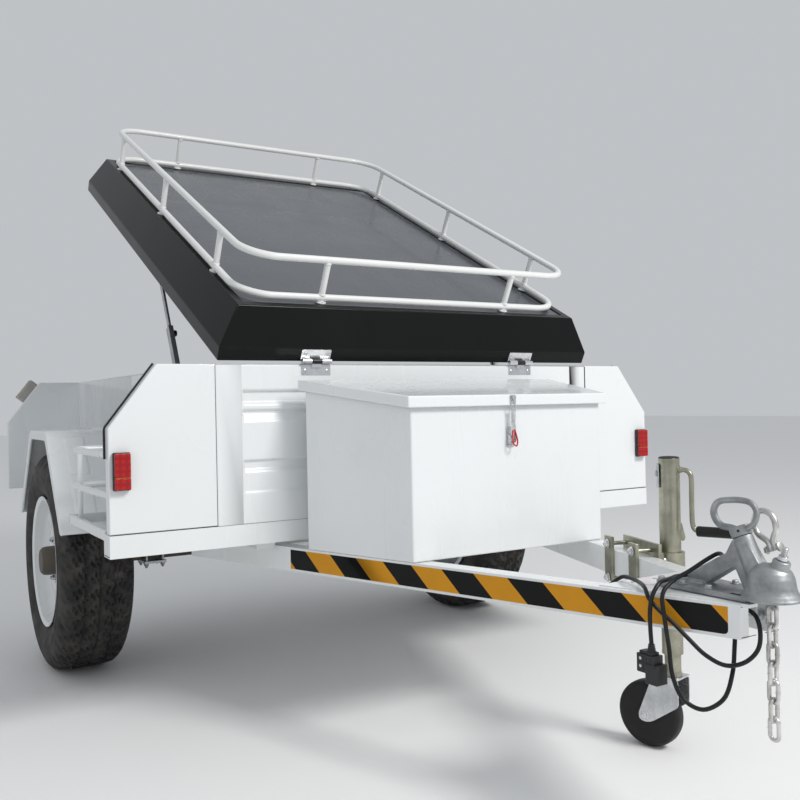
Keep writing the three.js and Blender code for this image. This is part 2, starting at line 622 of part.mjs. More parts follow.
function latchBase() {
  const x = BOX_FRONT_X + GAP;
  return block(x, x + 3, LATCH_Y - 11, LATCH_Y + 11, latchZ - 100, latchZ - 52)
    .add(block(x, x + 16, LATCH_Y - 9, LATCH_Y - 7, latchZ - 92, latchZ - 70))
    .add(block(x, x + 16, LATCH_Y + 7, LATCH_Y + 9, latchZ - 92, latchZ - 70))
    .add(rod(2, [x + 11, LATCH_Y - 9, latchZ - 81], [x + 11, LATCH_Y + 9, latchZ - 81], 8));
}
part('toolbox_latch_base', latchBase(), BRIGHT);

function latchLever() {
  const x = BOX_FRONT_X + 14;
  const z = latchZ - 81;
  return block(x - 5, x + 3, LATCH_Y - 6, LATCH_Y + 6, z + 3, z + 34)
    .add(block(x - 4, x + 2, LATCH_Y - 6, LATCH_Y - 4, z - 5, z + 5))
    .add(block(x - 4, x + 2, LATCH_Y + 4, LATCH_Y + 6, z - 5, z + 5))
    .subtract(rod(2.6, [BOX_FRONT_X + GAP + 11, LATCH_Y - 9, z], [BOX_FRONT_X + GAP + 11, LATCH_Y + 9, z], 8));
}
part('toolbox_latch_lever', latchLever(), BRIGHT);

// ---------- axle, springs and wheels ----------
function axle() {
  const half = TRACK_HALF - 40;
  const beam = block(AXLE_X - 25, AXLE_X + 25, -half + 60, half - 60, AXLE_Z - 25, AXLE_Z + 25);
  const spindles = SIDES.map((s) => rod(17, [AXLE_X, s * (half - 65), AXLE_Z], [AXLE_X, s * (half + 26), AXLE_Z], 12));
  const seats = SIDES.map((s) => block(AXLE_X - 50, AXLE_X + 50, s * SPRING_Y - 30, s * SPRING_Y + 30,
    AXLE_Z + 20, AXLE_Z + 31));
  return union([beam, ...spindles, ...seats]);
}
part('axle', axle(), ['#1b1c1d', 0.5, 0.3]);

// A leaf pack: an arch whose two ends roll into eyes, with shorter leaves beneath.
function leafSpring(s) {
  const y0 = s * SPRING_Y - 22;
  const y1 = s * SPRING_Y + 22;
  const bottom = AXLE_Z + 31 + GAP;
  const leaves = [];
  const rise = SPRING_EYE_Z - bottom - 22;
  for (const [i, reach] of [SPRING_HALF_LENGTH, 235, 150].entries()) {
    const points = [];
    const z = (t) => bottom + (2 - i) * 7 + rise * (t * reach / SPRING_HALF_LENGTH) ** 2;
    for (let k = -4; k <= 4; k += 1) points.push([AXLE_X + (k / 4) * reach, z(k / 4)]);
    for (let k = 4; k >= -4; k -= 1) points.push([AXLE_X + (k / 4) * reach, z(k / 4) + 7.2]);
    leaves.push(prism(points, 'y', y0, y1));
  }
  const eyes = [-1, 1].map((end) => {
    const x = AXLE_X + end * SPRING_HALF_LENGTH;
    return rod(16, [x, y0, SPRING_EYE_Z], [x, y1, SPRING_EYE_Z], 12);
  });
  const bores = [-1, 1].map((end) => {
    const x = AXLE_X + end * SPRING_HALF_LENGTH;
    return rod(8.5, [x, y0 - 2, SPRING_EYE_Z], [x, y1 + 2, SPRING_EYE_Z], 12);
  });
  return union([...leaves, ...eyes]).subtract(union(bores));
}
for (const s of SIDES) part(`leaf_spring_${sideName(s)}`, leafSpring(s), ['#202224', 0.55, 0.4]);

const HALF_TYRE = TYRE_WIDTH / 2;

function tyre() {
  const arc = [
    [RIM_R + 1, -HALF_TYRE + 26], [RIM_R + 30, -HALF_TYRE + 8], [258, -HALF_TYRE], [300, -HALF_TYRE + 5],
    [326, -HALF_TYRE + 18], [TYRE_R - 3, -HALF_TYRE + 34], [TYRE_R, 0],
  ];
  const mirrored = arc.slice(0, -1).map(([r, z]) => [r, -z]).reverse();
  const liner = [[RIM_R + 1, HALF_TYRE - 42], [314, HALF_TYRE - 45], [314, -HALF_TYRE + 45], [RIM_R + 1, -HALF_TYRE + 42]];
  return turned([...arc, ...mirrored, ...liner, arc[0]], 32);
}

function rim() {
  const r = RIM_R + 0.5;
  const profile = [
    [r + 9, -HALF_TYRE + 9], [r + 9, -HALF_TYRE + 12], [r, -HALF_TYRE + 19], [r, HALF_TYRE - 19],
    [r + 9, HALF_TYRE - 12], [r + 9, HALF_TYRE - 9], [r - 6, HALF_TYRE - 12], [r - 8, HALF_TYRE - 42],
    [150, HALF_TYRE - 60], [112, HALF_TYRE - 44], [60, HALF_TYRE - 52], [46, HALF_TYRE - 52],
    [46, HALF_TYRE - 60], [112, HALF_TYRE - 52], [150, HALF_TYRE - 68], [r - 8, HALF_TYRE - 50],
    [r - 8, -HALF_TYRE + 12], [r + 9, -HALF_TYRE + 9],
  ];
  return turned(profile, 32);
}

function hub() {
  const face = HALF_TYRE - 60 - GAP;
  const profile = [
    [20, face - 62], [62, face - 62], [62, face - 8], [90, face - 8], [90, face], [45, face],
    [45, face + 46], [36, face + 60], [0, face + 60], [0, face + 40], [20, face + 40], [20, face - 62],
  ];
  return turned(profile, 18);
}

for (const s of SIDES) {
  const turn = [s > 0 ? -Math.PI / 2 : Math.PI / 2, 0, 0];
  const wheel = new THREE.Group();
  place(wheel, AXLE_X, s * TRACK_HALF, AXLE_Z, turn);
  trailer.add(wheel);
  part(`tyre_${sideName(s)}`, tyre(), RUBBER, wheel);
  part(`rim_${sideName(s)}`, rim(), WHITE, wheel);
  part(`hub_${sideName(s)}`, hub(), ['#202224', 0.5, 0.4], wheel);
}

// ---------- lamps ----------
for (const s of SIDES) {
  const y = s * (BODY_HALF - 28);
  part(`marker_lamp_${sideName(s)}`,
    block(FRONT_X + GAP, FRONT_X + 22, y - 20, y + 20, 627, 715), RED_LENS);
  const inner = (CHAMFER_Y + BODY_HALF) / 2 - 30;
  const lamp = new THREE.Group();
  place(lamp, REAR_X - 20 - GAP, s * inner, (TUB_TOP + CHAMFER_Z) / 2 + 34,
    [-s * Math.atan2(TUB_TOP - CHAMFER_Z, BODY_HALF - CHAMFER_Y), 0, 0]);
  trailer.add(lamp);
  part(`tail_lamp_${sideName(s)}`, block(-20, 20, -43, 43, -16, 34), RED_LENS, lamp);
}

// ---------- ball coupling ----------
// The plunger's axis leans back: its top end is nearer the trailer.
const plungerUp = new THREE.Vector3(-Math.sin(PLUNGER_TILT), 0, Math.cos(PLUNGER_TILT));
const plungerTop = new THREE.Vector3(FRONT_X + 1047, 0, 565);
const onPlunger = (d) => plungerTop.clone().addScaledVector(plungerUp, d).toArray();

function couplingBody() {
  const z = COUPLING_BASE_Z;
  const base = prism([
    [FRONT_X + 880, -42], [FRONT_X + 900, -52], [COUPLING_X - 20, -44], [COUPLING_X - 20, 44],
    [FRONT_X + 900, 52], [FRONT_X + 880, 42],
  ], 'z', z, z + 12);
  const dome = turned([
    [0, 4], [44, 4], [54, 7], [54, 12], [43, 19], [38, 44], [26, 62], [0, 68], [0, 4],
  ], 24).translate([COUPLING_X, 0, z]);
  const legs = prism([
    [FRONT_X + 926, z + 8], [FRONT_X + 968, z + 8], [FRONT_X + 1036, z + 52],
    [FRONT_X + 1056, z + 14], [COUPLING_X - 10, z + 14], [COUPLING_X - 6, z + 50],
    [FRONT_X + 1062, z + 106], [FRONT_X + 1032, z + 100], [FRONT_X + 1018, z + 76], [FRONT_X + 930, z + 28],
  ], 'y', -14, 14);
  const housing = rod(18, onPlunger(-88), onPlunger(0), 16);
  const boss = rod(15, [COUPLING_X + 10, 0, z + 40], [COUPLING_X + 22, 0, z + 76], 14);
  const socket = turned([[0, -6], [26, -6], [26, 26], [19, 40], [0, 46], [0, -6]], 20)
    .translate([COUPLING_X, 0, z]);
  const bore = rod(9.5, onPlunger(-120), onPlunger(10), 12);
  return union([base, dome, legs, housing, boss]).subtract(socket).subtract(bore);
}
part('coupling_body', couplingBody(), GALVANISED);

function couplingHandle() {
  const stem = rod(8, onPlunger(-70), onPlunger(4), 10);
  const collar = rod(19, onPlunger(GAP), onPlunger(18), 14);
  const loop = [[1020, 577], [993, 584], [984, 603], [995, 621], [1016, 627], [1048, 629], [1070, 624],
    [1077, 606], [1062, 583]].map(([x, z]) => [FRONT_X + x, 0, z]);
  const ring = tubeAlong(smooth(loop), 6.5, 16);
  const ends = [loop[0], loop[loop.length - 1]].map((p) => rod(6.5, onPlunger(11), p, 8));
  return union([stem, collar, ring, ...ends]);
}
part('coupling_handle', couplingHandle(), BRIGHT);

function couplingAdjuster() {
  const foot = [COUPLING_X + 22, 0, COUPLING_BASE_Z + 76];
  const up = new THREE.Vector3(12, 0, 36).normalize();
  const at = (d) => new THREE.Vector3(...foot).addScaledVector(up, d).toArray();
  return rod(9, at(GAP + 0.2), at(8), 6).add(rod(5.5, at(4), at(24), 10));
}
part('coupling_adjuster', couplingAdjuster(), BRIGHT);

// ---------- safety chain ----------
const LINK_PITCH = 33;
const LINK_R = 4;
const LINK_HALF = 9;              // from the link's middle to its wire's centre
const LINKS = 7;

// One welded link: a wire of six sides bent round an oval, in the XZ plane where flat, else in YZ.
function link(centreZ, flat) {
  const half = LINK_PITCH / 2 + LINK_R - 0.8;
  const steps = 12;
  const sides = 6;
  const points = [];
  const index = [];
  for (let k = 0; k < steps; k += 1) {
    const a = (2 * Math.PI * (k + 0.5)) / steps;
    const middle = (half - LINK_HALF) * Math.sign(Math.sin(a));
    for (let m = 0; m < sides; m += 1) {
      const b = (2 * Math.PI * (m + 0.5)) / sides;
      const reach = LINK_HALF + LINK_R * Math.cos(b);
      const across = reach * Math.cos(a);
      const z = centreZ + middle + reach * Math.sin(a);
      const off = LINK_R * Math.sin(b);
      points.push(...(flat ? [across, off, z] : [-off, across, z]));
      const next = ((k + 1) % steps) * sides;
      const p = [k * sides + m, k * sides + ((m + 1) % sides), next + ((m + 1) % sides), next + m];
      index.push(p[0], p[1], p[2], p[0], p[2], p[3]);
    }
  }
  const ring = new THREE.BufferGeometry();
  ring.setAttribute('position', new THREE.BufferAttribute(new Float32Array(points), 3));
  ring.setIndex(index);
  return solid(ring);
}

function safetyChain() {
  const first = -11.9;            // the top link hangs clear on the eye's pin
  const links = [];
  for (let k = 0; k < LINKS; k += 1) links.push(link(first - k * LINK_PITCH, k % 2 === 0));
  return union(links);
}
place(part('safety_chain', safetyChain(), GALVANISED), CHAIN_X, CHAIN_Y, CHAIN_TOP);

// A bow shackle left on the coupling beside the plunger.
function shackle() {
  const bow = smooth([[0, 0, 0], [-2, 0, 14], [-15, 0, 30], [-14, 0, 50], [2, 0, 60], [18, 0, 50],
    [19, 0, 30], [8, 0, 14], [8, 0, 0]].map(([x, , z]) => [x * 1.2, 0, z * 1.2]));
  const pin = rod(5, [-8, 0, 3], [18, 0, 3], 8);
  return tubeAlong(bow, 5.5, 14, 6).add(pin);
}
place(part('safety_shackle', shackle(), GALVANISED), FRONT_X + 1084, 31, 541, [0, -0.35, 0]);

// ---------- jockey wheel ----------
const jockeyReach = (JOCKEY_Y - railOuter(JOCKEY_X)) * Math.cos(RAIL_ANGLE);
const clampX = JOCKEY_X - Math.sin(RAIL_ANGLE) * jockeyReach;
const clampY = JOCKEY_Y - Math.cos(RAIL_ANGLE) * jockeyReach;
const clampZ = (RAIL_TOP + RAIL_BOTTOM) / 2;
const LOCK_PIN = [30, 22];        // along the rail and up from the pivot
const STRAPS = [-108, 14];        // along the rail from the pivot

// Along the rail: x runs forward along it, y outward from its outer face.
const clamp = new THREE.Group();
place(clamp, clampX, clampY, clampZ, [0, 0, -RAIL_ANGLE]);
trailer.add(clamp);

function jockeyBracket() {
  const cheek = block(-128, 44, GAP, 8, -46, 60);
  const pivot = rod(13, [0, 6, 0], [0, 20, 0], 16);
  const straps = STRAPS.map((x) => block(x - 18, x + 18, -RAIL_WIDTH - 8, -RAIL_WIDTH - GAP, -44, 62));
  const bolts = STRAPS.flatMap((x) => [-37, 44].map((z) => rod(5, [x, -RAIL_WIDTH - 15, z], [x, 8, z], 8)));
  return union([cheek, pivot, ...straps, ...bolts]);
}
part('jockey_bracket', jockeyBracket(), ZINC, clamp);

function jockeySwivel() {
  const plate = block(-24, 40, 8.5, 16, -30, 36).subtract(rod(13.4, [0, 0, 0], [0, 30, 0], 16))
    .subtract(rod(5.4, [LOCK_PIN[0], 0, LOCK_PIN[1]], [LOCK_PIN[0], 30, LOCK_PIN[1]], 12));
  const ring = turned([[JOCKEY_R + GAP, -30], [JOCKEY_R + 8, -30], [JOCKEY_R + 8, 36], [JOCKEY_R + GAP, 36],
    [JOCKEY_R + GAP, -30]], 20).translate([0, jockeyReach, 0]);
  const arms = [[-30, -18], [24, 36]].map(([z0, z1]) => block(-16, 16, 14, jockeyReach - JOCKEY_R - 2, z0, z1));
  return union([plate, ring, ...arms]);
}
part('jockey_swivel', jockeySwivel(), ZINC, clamp);

part('jockey_lock_pin', rod(5, [LOCK_PIN[0], 8.5, LOCK_PIN[1]], [LOCK_PIN[0], 24, LOCK_PIN[1]], 12)
  .add(rod(6.5, [LOCK_PIN[0], 19, LOCK_PIN[1]], [LOCK_PIN[0], 24, LOCK_PIN[1]], 12)), BRIGHT, clamp);

const OUTER_BOTTOM = 226;
const CRANK_Z = 650;
const CRANK_TURN = THREE.MathUtils.degToRad(24);   // the crank points this far to the left of straight ahead
const INNER_R = 18.5;
const SCREW_TOP = 628;

const outerTube = turned([[21, OUTER_BOTTOM], [JOCKEY_R, OUTER_BOTTOM], [JOCKEY_R, JOCKEY_TOP],
  [21, JOCKEY_TOP], [21, OUTER_BOTTOM]], 24)
  .subtract(rod(8, [0, 0, CRANK_Z], [60 * Math.cos(CRANK_TURN), 60 * Math.sin(CRANK_TURN), CRANK_Z], 12));
place(part('jockey_outer_tube', outerTube, ZINC), JOCKEY_X, JOCKEY_Y, 0);

function crank() {
  const down = [[0, 0], [28, 0], [46, -4], [51, -22], [51, -80], [54, -128], [66, -138]]
    .map(([x, z]) => [x, 0, z]);
  const handle = tubeAlong(smooth(down), 5.5, 12);
  const shaft = rod(7.5, [8, 0, 0], [30, 0, 0], 10);
  const grip = rod(12, [62, 0, -139], [162, 0, -139], 14);
  return union([shaft, handle, grip]);
}
place(part('jockey_crank', crank(), BRIGHT), JOCKEY_X, JOCKEY_Y, CRANK_Z, [0, 0, CRANK_TURN]);

// The screw that the crank turns, with its bevel wheel on top.
const screw = rod(6, [0, 0, 262], [0, 0, SCREW_TOP], 12).add(
  turned([[0, SCREW_TOP - 4], [16, SCREW_TOP - 4], [12, SCREW_TOP + 8], [0, SCREW_TOP + 8], [0, SCREW_TOP - 4]], 16));
place(part('jockey_screw', screw, GALVANISED), JOCKEY_X, JOCKEY_Y, 0);

// The fork trails behind the tube, turned a little from straight ahead.
const TRAIL = 59;
const FORK_TURN = THREE.MathUtils.degToRad(14);
const FORK_HALF = 29;
const WHEEL_HALF = 22;
const INNER_BOTTOM = 176;

const innerTube = turned([[8, INNER_BOTTOM + 30], [0, INNER_BOTTOM + 30], [0, INNER_BOTTOM], [INNER_R, INNER_BOTTOM],
  [INNER_R, 560], [8, 560], [8, INNER_BOTTOM + 30]], 20);
place(part('jockey_inner_tube', innerTube, ZINC), JOCKEY_X, JOCKEY_Y, 0);

const caster = new THREE.Group();
place(caster, JOCKEY_X, JOCKEY_Y, 0, [0, 0, FORK_TURN]);
trailer.add(caster);

function fork() {
  const top = block(-38, 26, -FORK_HALF, FORK_HALF, INNER_BOTTOM - GAP - 4, INNER_BOTTOM - GAP);
  const outline = [[26, 172], [26, 108], [-48, 64], [-66, 60], [-74, 72], [-38, 172]];
  const plates = [-1, 1].map((s) => {
    const y = [s * FORK_HALF, s * (FORK_HALF - 4)].sort((a, b) => a - b);
    return prism(outline, 'y', y[0], y[1]);
  });
  const bolt = rod(6, [-TRAIL, -FORK_HALF - 7, JOCKEY_WHEEL_R], [-TRAIL, FORK_HALF + 7, JOCKEY_WHEEL_R], 10);
  return union([top, ...plates, bolt]);
}
part('jockey_fork', fork(), BRIGHT, caster);

const jockeyWheel = turned([[6.4, -WHEEL_HALF], [40, -WHEEL_HALF], [70, -WHEEL_HALF + 2], [JOCKEY_WHEEL_R, -WHEEL_HALF + 9],
  [JOCKEY_WHEEL_R, WHEEL_HALF - 9], [70, WHEEL_HALF - 2], [40, WHEEL_HALF], [6.4, WHEEL_HALF], [6.4, -WHEEL_HALF]], 24);
place(part('jockey_wheel', jockeyWheel, RUBBER, caster), -TRAIL, 0, JOCKEY_WHEEL_R, [Math.PI / 2, 0, 0]);

// ---------- cable and plug ----------
// The grommet on the right rail's inner face, the hook inside the rails' tip, then the cable's route.
const gromX = FRONT_X + 765;
const gromY = -railOuter(gromX) + RAIL_WIDTH / Math.cos(RAIL_ANGLE);
const grommet = turned([[0, GAP], [10, GAP], [10, 4], [7, 12], [0, 12], [0, GAP]], 14);
const grommetSeat = new THREE.Group();
place(grommetSeat, gromX, gromY, 428, [0, 0, RAIL_ANGLE]);
trailer.add(grommetSeat);
place(part('cable_grommet', grommet, BLACK_PLASTIC, grommetSeat), 0, 0, 0, [-Math.PI / 2, 0, 0]);

const CABLE_ROUTE = [
  [770, -98, 428], [773, -80, 434], [790, -68, 450], [815, -66, 465], [845, -72, 467], [880, -86, 466],
  [912, -106, 463], [932, -117, 449], [950, -112, 431], [975, -102, 410], [1000, -92, 386], [1026, -78, 360],
  [1050, -55, 344], [1070, -30, 350], [1082, -10, 372], [1084, -6, 405], [1074, -4, 428], [1057, -4, 436],
  [1040, -4, 428], [1033, -6, 405], [1036, -14, 370], [1046, -34, 325], [1048, -62, 285], [1025, -88, 266],
  [998, -106, 280], [984, -116, 318], [978, -118, 370], [972, -121, 420], [962, -114, 462], [962, -88, 482],
  [975, -55, 500], [988, -24, 519], [992, 0, 527], [982, 24, 518], [955, 36, 492], [928, 26, 479], [915, 0, 476],
  [920, -30, 478], [932, -66, 478], [941, -100, 476], [944, -122, 455], [946, -130, 430], [946, -130, 400],
  [946, -128, 372],
].map(([x, y, z]) => [FRONT_X + x, y, z]);
const cableCurve = smooth(CABLE_ROUTE);
part('cable', tubeAlong(cableCurve, CABLE_R, 80), RUBBER);

function plug() {
  const [x, y] = CABLE_ROUTE[CABLE_ROUTE.length - 1];
  const neck = rod(6.5, [x, y, 350], [x, y, 371.7], 10);
  const body = block(x - 26, x + 16, y - 12, y + 12, 316, 354);
  const flap = block(x - 4, x + 24, y - 14, y + 14, 300, 336);
  return union([neck, body, flap]);
}
part('cable_plug', plug(), BLACK_PLASTIC);

export default trailer;
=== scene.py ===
"""Off-road box trailer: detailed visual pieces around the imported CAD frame.

Lengths inside a Shape are millimetres in a local frame; make() puts them in the row frame.
"""
import math

import bmesh
import bpy
from mathutils import Matrix, Vector, noise


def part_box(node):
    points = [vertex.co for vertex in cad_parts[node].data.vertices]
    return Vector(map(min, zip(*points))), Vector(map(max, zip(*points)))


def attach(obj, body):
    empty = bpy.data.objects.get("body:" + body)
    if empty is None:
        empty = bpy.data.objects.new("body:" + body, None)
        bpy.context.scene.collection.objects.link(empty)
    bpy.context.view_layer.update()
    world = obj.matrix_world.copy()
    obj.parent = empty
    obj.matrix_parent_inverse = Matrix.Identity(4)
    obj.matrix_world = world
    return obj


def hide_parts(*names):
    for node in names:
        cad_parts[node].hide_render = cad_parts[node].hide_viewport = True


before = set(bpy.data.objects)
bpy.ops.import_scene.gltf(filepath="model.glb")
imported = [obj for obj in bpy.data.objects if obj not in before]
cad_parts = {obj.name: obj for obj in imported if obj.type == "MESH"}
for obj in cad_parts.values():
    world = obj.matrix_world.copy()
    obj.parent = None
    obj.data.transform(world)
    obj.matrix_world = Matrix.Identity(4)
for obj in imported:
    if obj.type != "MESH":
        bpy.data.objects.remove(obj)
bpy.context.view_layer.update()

# ---------- local frames ----------
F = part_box("tub")[1].x               # plane of the tub's front panel
MM = Matrix.Scale(0.001, 4)
LID_OPEN = math.radians(27.5)
RAIL_TAPER = 0.331
RAIL_ANGLE = math.atan(RAIL_TAPER)
RAIL_WALL = 42                       # a rail's width, square to its length
TIP_X, TIP_Y = 1080, 53.3            # the drawbar rails' tips, outer face
JOCKEY = (648, 254)
AXLE_X, AXLE_Z, TRACK = -915, 340, 747
STAY_FOOT = (-300, 720)


def rail_outer(x):
    return TIP_Y + (TIP_X - x) * RAIL_TAPER


def at(x, y, z):
    return Matrix.Translation((F + x / 1000, y / 1000, z / 1000))


REACH = (JOCKEY[1] - rail_outer(JOCKEY[0])) * math.cos(RAIL_ANGLE)
ROW = at(0, 0, 0) @ MM
LID = at(-5, 0, 928) @ Matrix.Rotation(LID_OPEN, 4, "Y") @ MM
CLAMP = at(JOCKEY[0] - math.sin(RAIL_ANGLE) * REACH, JOCKEY[1] - math.cos(RAIL_ANGLE) * REACH,
           425) @ Matrix.Rotation(-RAIL_ANGLE, 4, "Z") @ MM
TUBE = at(*JOCKEY, 0) @ MM
CASTER = at(*JOCKEY, 0) @ Matrix.Rotation(math.radians(14), 4, "Z") @ MM
stay_head = LID @ Vector((-655, 0, 22)) - Vector((F, 0, 0))
STAY_ANGLE = math.atan2(stay_head.x * 1000 - STAY_FOOT[0], stay_head.z * 1000 - STAY_FOOT[1])
SIDES = {"right": -1, "left": 1}
X_AXIS = (1, 0, 0)


# ---------- curves ----------
def catmull(points, per=8):
    """A centripetal Catmull-Rom line through the points."""
    p = [Vector(q) for q in points]
    p = [p[0] * 2 - p[1], *p, p[-1] * 2 - p[-2]]
    out = []
    for a, b, c, d in zip(p, p[1:], p[2:], p[3:]):
        t0, t1, t2 = [max((v - u).length, 1e-9) ** 0.5 for u, v in ((a, b), (b, c), (c, d))]
        m1 = ((b - a) / t0 - (c - a) / (t0 + t1) + (c - b) / t1) * t1
        m2 = ((c - b) / t1 - (d - b) / (t1 + t2) + (d - c) / t2) * t1
        for k in range(per):
            t = k / per
            out.append(b * (2 * t**3 - 3 * t**2 + 1) + m1 * (t**3 - 2 * t**2 + t)
                       + c * (-2 * t**3 + 3 * t**2) + m2 * (t**3 - t**2))
    return out + [p[-2]]


def fillet(points, radius, steps=5, closed=False):
    """A polyline with each corner rounded."""
    p = [Vector(q) for q in points]
    out = []
    for i, q in enumerate(p):
        if not closed and i in (0, len(p) - 1):
            out.append(q)
            continue
        u, v = (p[i - 1] - q), (p[(i + 1) % len(p)] - q)
        reach = min(radius, u.length * 0.45, v.length * 0.45)
        a, b = q + u.normalized() * reach, q + v.normalized() * reach
        for k in range(steps + 1):
            t = k / steps
            out.append(a * (1 - t) ** 2 + q * (2 * t * (1 - t)) + b * t**2)
    return out


# ---------- shapes ----------
def link(name, data):
    """A new object in the scene."""
    obj = bpy.data.objects.new(name, data)
    bpy.context.scene.collection.objects.link(obj)
    return obj


class Shape:
    def __init__(self):
        self.verts, self.faces, self.tints = [], [], []

    def add(self, verts, faces, tint=0, matrix=None):
        n = len(self.verts)
        self.verts += [(matrix @ Vector(v)) if matrix else Vector(v) for v in verts]
        self.faces += [[n + i for i in f] for f in faces]
        self.tints += [tint] * len(faces)
        return self

    def box(self, x0, x1, y0, y1, z0, z1):
        (x0, x1), (y0, y1), (z0, z1) = sorted((x0, x1)), sorted((y0, y1)), sorted((z0, z1))
        v = [(x, y, z) for z in (z0, z1) for y in (y0, y1) for x in (x0, x1)]
        f = [(0, 2, 3, 1), (4, 5, 7, 6), (0, 1, 5, 4), (2, 6, 7, 3), (0, 4, 6, 2), (1, 3, 7, 5)]
        return self.add(v, f)

    def prism(self, outline, axis, a, b, matrix=None):
        """An outline of (u, v) pushed along an axis: x takes (y, z), y takes (x, z), z takes (x, y)."""
        put = {"x": lambda u, v, w: (w, u, v), "y": lambda u, v, w: (u, w, v),
               "z": lambda u, v, w: (u, v, w)}[axis]
        n = len(outline)
        v = [put(*q, w) for w in (a, b) for q in outline]
        f = [list(range(n))[::-1], list(range(n, 2 * n))]
        f += [(i, (i + 1) % n, n + (i + 1) % n, n + i) for i in range(n)]
        return self.add(v, f, matrix=matrix)

    def tube(self, path, r, sides=16, closed=False, flat=1.0):
        """A round or flattened bar along a path; r may be a function of the way along it."""
        path = [Vector(q) for q in path]
        n = len(path)
        radius = r if callable(r) else (lambda t: r)
        verts, faces = [], []
        side = None
        for i, q in enumerate(path):
            ahead = path[(i + 1) % n] if closed or i + 1 < n else q
            behind = path[i - 1] if closed or i else q
            along = (ahead - behind).normalized()
            if side is None:
                side = along.orthogonal().normalized()
            side = (side - along * side.dot(along)).normalized()
            up = along.cross(side)
            rr = radius(i / max(n - 1, 1))
            for k in range(sides):
                a = 2 * math.pi * k / sides
                verts.append(q + side * (rr * math.cos(a)) + up * (rr * flat * math.sin(a)))
        for i in range(n if closed else n - 1):
            j = (i + 1) % n
            for k in range(sides):
                m = (k + 1) % sides
                faces.append((i * sides + k, i * sides + m, j * sides + m, j * sides + k))
        if not closed:
            faces += [list(range(sides))[::-1], list(range((n - 1) * sides, n * sides))]
        return self.add(verts, faces)

    def rod(self, r, a, b, sides=24):
        return self.tube([a, b], r, sides)

    def lathe(self, profile, origin=(0, 0, 0), axis=(0, 0, 1), sides=48, wobble=None, matrix=None):
        """A turned shape from (radius, height) points, about an axis through origin."""
        turn = Vector((0, 0, 1)).rotation_difference(Vector(axis)).to_matrix()
        n = len(profile)
        verts = []
        for k in range(sides):
            a = 2 * math.pi * k / sides
            for i, (r, z) in enumerate(profile):
                if wobble:
                    r = wobble(a, i, r, z)
                verts.append(Vector(origin) + turn @ Vector((r * math.cos(a), r * math.sin(a), z)))
        faces = []
        for k in range(sides):
            m = (k + 1) % sides
            for i in range(n):
                j = (i + 1) % n
                faces.append((k * n + i, m * n + i, m * n + j, k * n + j))
        return self.add(verts, faces, matrix=matrix)

    def grid(self, rows):
        """A sheet through rows of points."""
        m = len(rows[0])
        verts = [q for row in rows for q in row]
        faces = [(i * m + k, i * m + k + 1, (i + 1) * m + k + 1, (i + 1) * m + k)
                 for i in range(len(rows) - 1) for k in range(m - 1)]
        return self.add(verts, faces)

    def bolt(self, point, axis, r=6, h=5, stub=0):
        """A hexagon head with its washer, and a domed thread end where stub is set."""
        q, n = Vector(point), Vector(axis).normalized()
        self.lathe([(0, 0), (r * 1.35, 0), (r * 1.35, 1.1), (r * 1.28, 1.5), (0, 1.5)], q, n, 28)
        self.lathe([(0, 1.4), (r, 1.4), (r, h + 0.4), (r * 0.86, h + 1.4), (0, h + 1.4)], q, n, 6)
        if stub:
            self.lathe([(0, h), (r * 0.55, h), (r * 0.55, h + stub - 1), (r * 0.42, h + stub),
                        (0, h + stub)], q, n, 18)

    def make(self, name, mats, body="frame", place=ROW, node=(), slot=None, bevel=0.0, segments=2,
             angle=40, wall=0.0, weld=1e-5, remesh=0.0, smoothing=0):
        """Builds the piece. The slot argument is not used."""
        mesh = bpy.data.meshes.new(name)
        mesh.from_pydata([place @ v for v in self.verts], [], self.faces)
        mats = mats if isinstance(mats, tuple) else (mats,)
        for m in mats:
            mesh.materials.append(m)
        for poly, tint in zip(mesh.polygons, self.tints):
            poly.material_index = tint
        bm = bmesh.new()
        bm.from_mesh(mesh)
        bmesh.ops.remove_doubles(bm, verts=bm.verts, dist=weld)
        bmesh.ops.dissolve_degenerate(bm, edges=bm.edges, dist=1e-7)
        if not wall:
            bmesh.ops.recalc_face_normals(bm, faces=bm.faces)
        bm.to_mesh(mesh)
        bm.free()
        mesh.validate()
        return dress(link(name, mesh),
                     body, node, bevel, segments, angle, wall, remesh, smoothing)


def dress(obj, body, node, bevel=0.0, segments=2, angle=40, wall=0.0, remesh=0.0,
          smoothing=0):
    """Rounds the edges, thickens a sheet, and ties a piece to its body and node."""
    mesh = obj.data
    mesh.shade_smooth()
    if remesh:
        m = obj.modifiers.new("cast", "REMESH")
        m.mode, m.voxel_size, m.use_smooth_shade = "VOXEL", remesh, True
        s = obj.modifiers.new("soft", "SMOOTH")
        s.factor, s.iterations = 0.5, smoothing
    if bevel and wall:
        bevel_edges(obj, bevel, segments, angle)
    if wall:
        m = obj.modifiers.new("wall", "SOLIDIFY")
        m.thickness, m.offset, m.use_even_offset = wall, -1, True
    if bevel and not wall:
        bevel_edges(obj, bevel, segments, angle)
    if not remesh:
        mesh.set_sharp_from_angle(angle=math.radians(angle))
        if wall or not bevel:
            m = obj.modifiers.new("flats", "WEIGHTED_NORMAL")
            m.keep_sharp = True
    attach(obj, body)
    if node:
        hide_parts(*([node] if isinstance(node, str) else node))
    return obj


def bevel_edges(obj, width, segments, angle):
    m = obj.modifiers.new("edges", "BEVEL")
    m.width, m.segments, m.limit_method = width, segments, "ANGLE"
    m.angle_limit, m.harden_normals = math.radians(angle), True
    m.miter_outer = "MITER_ARC"


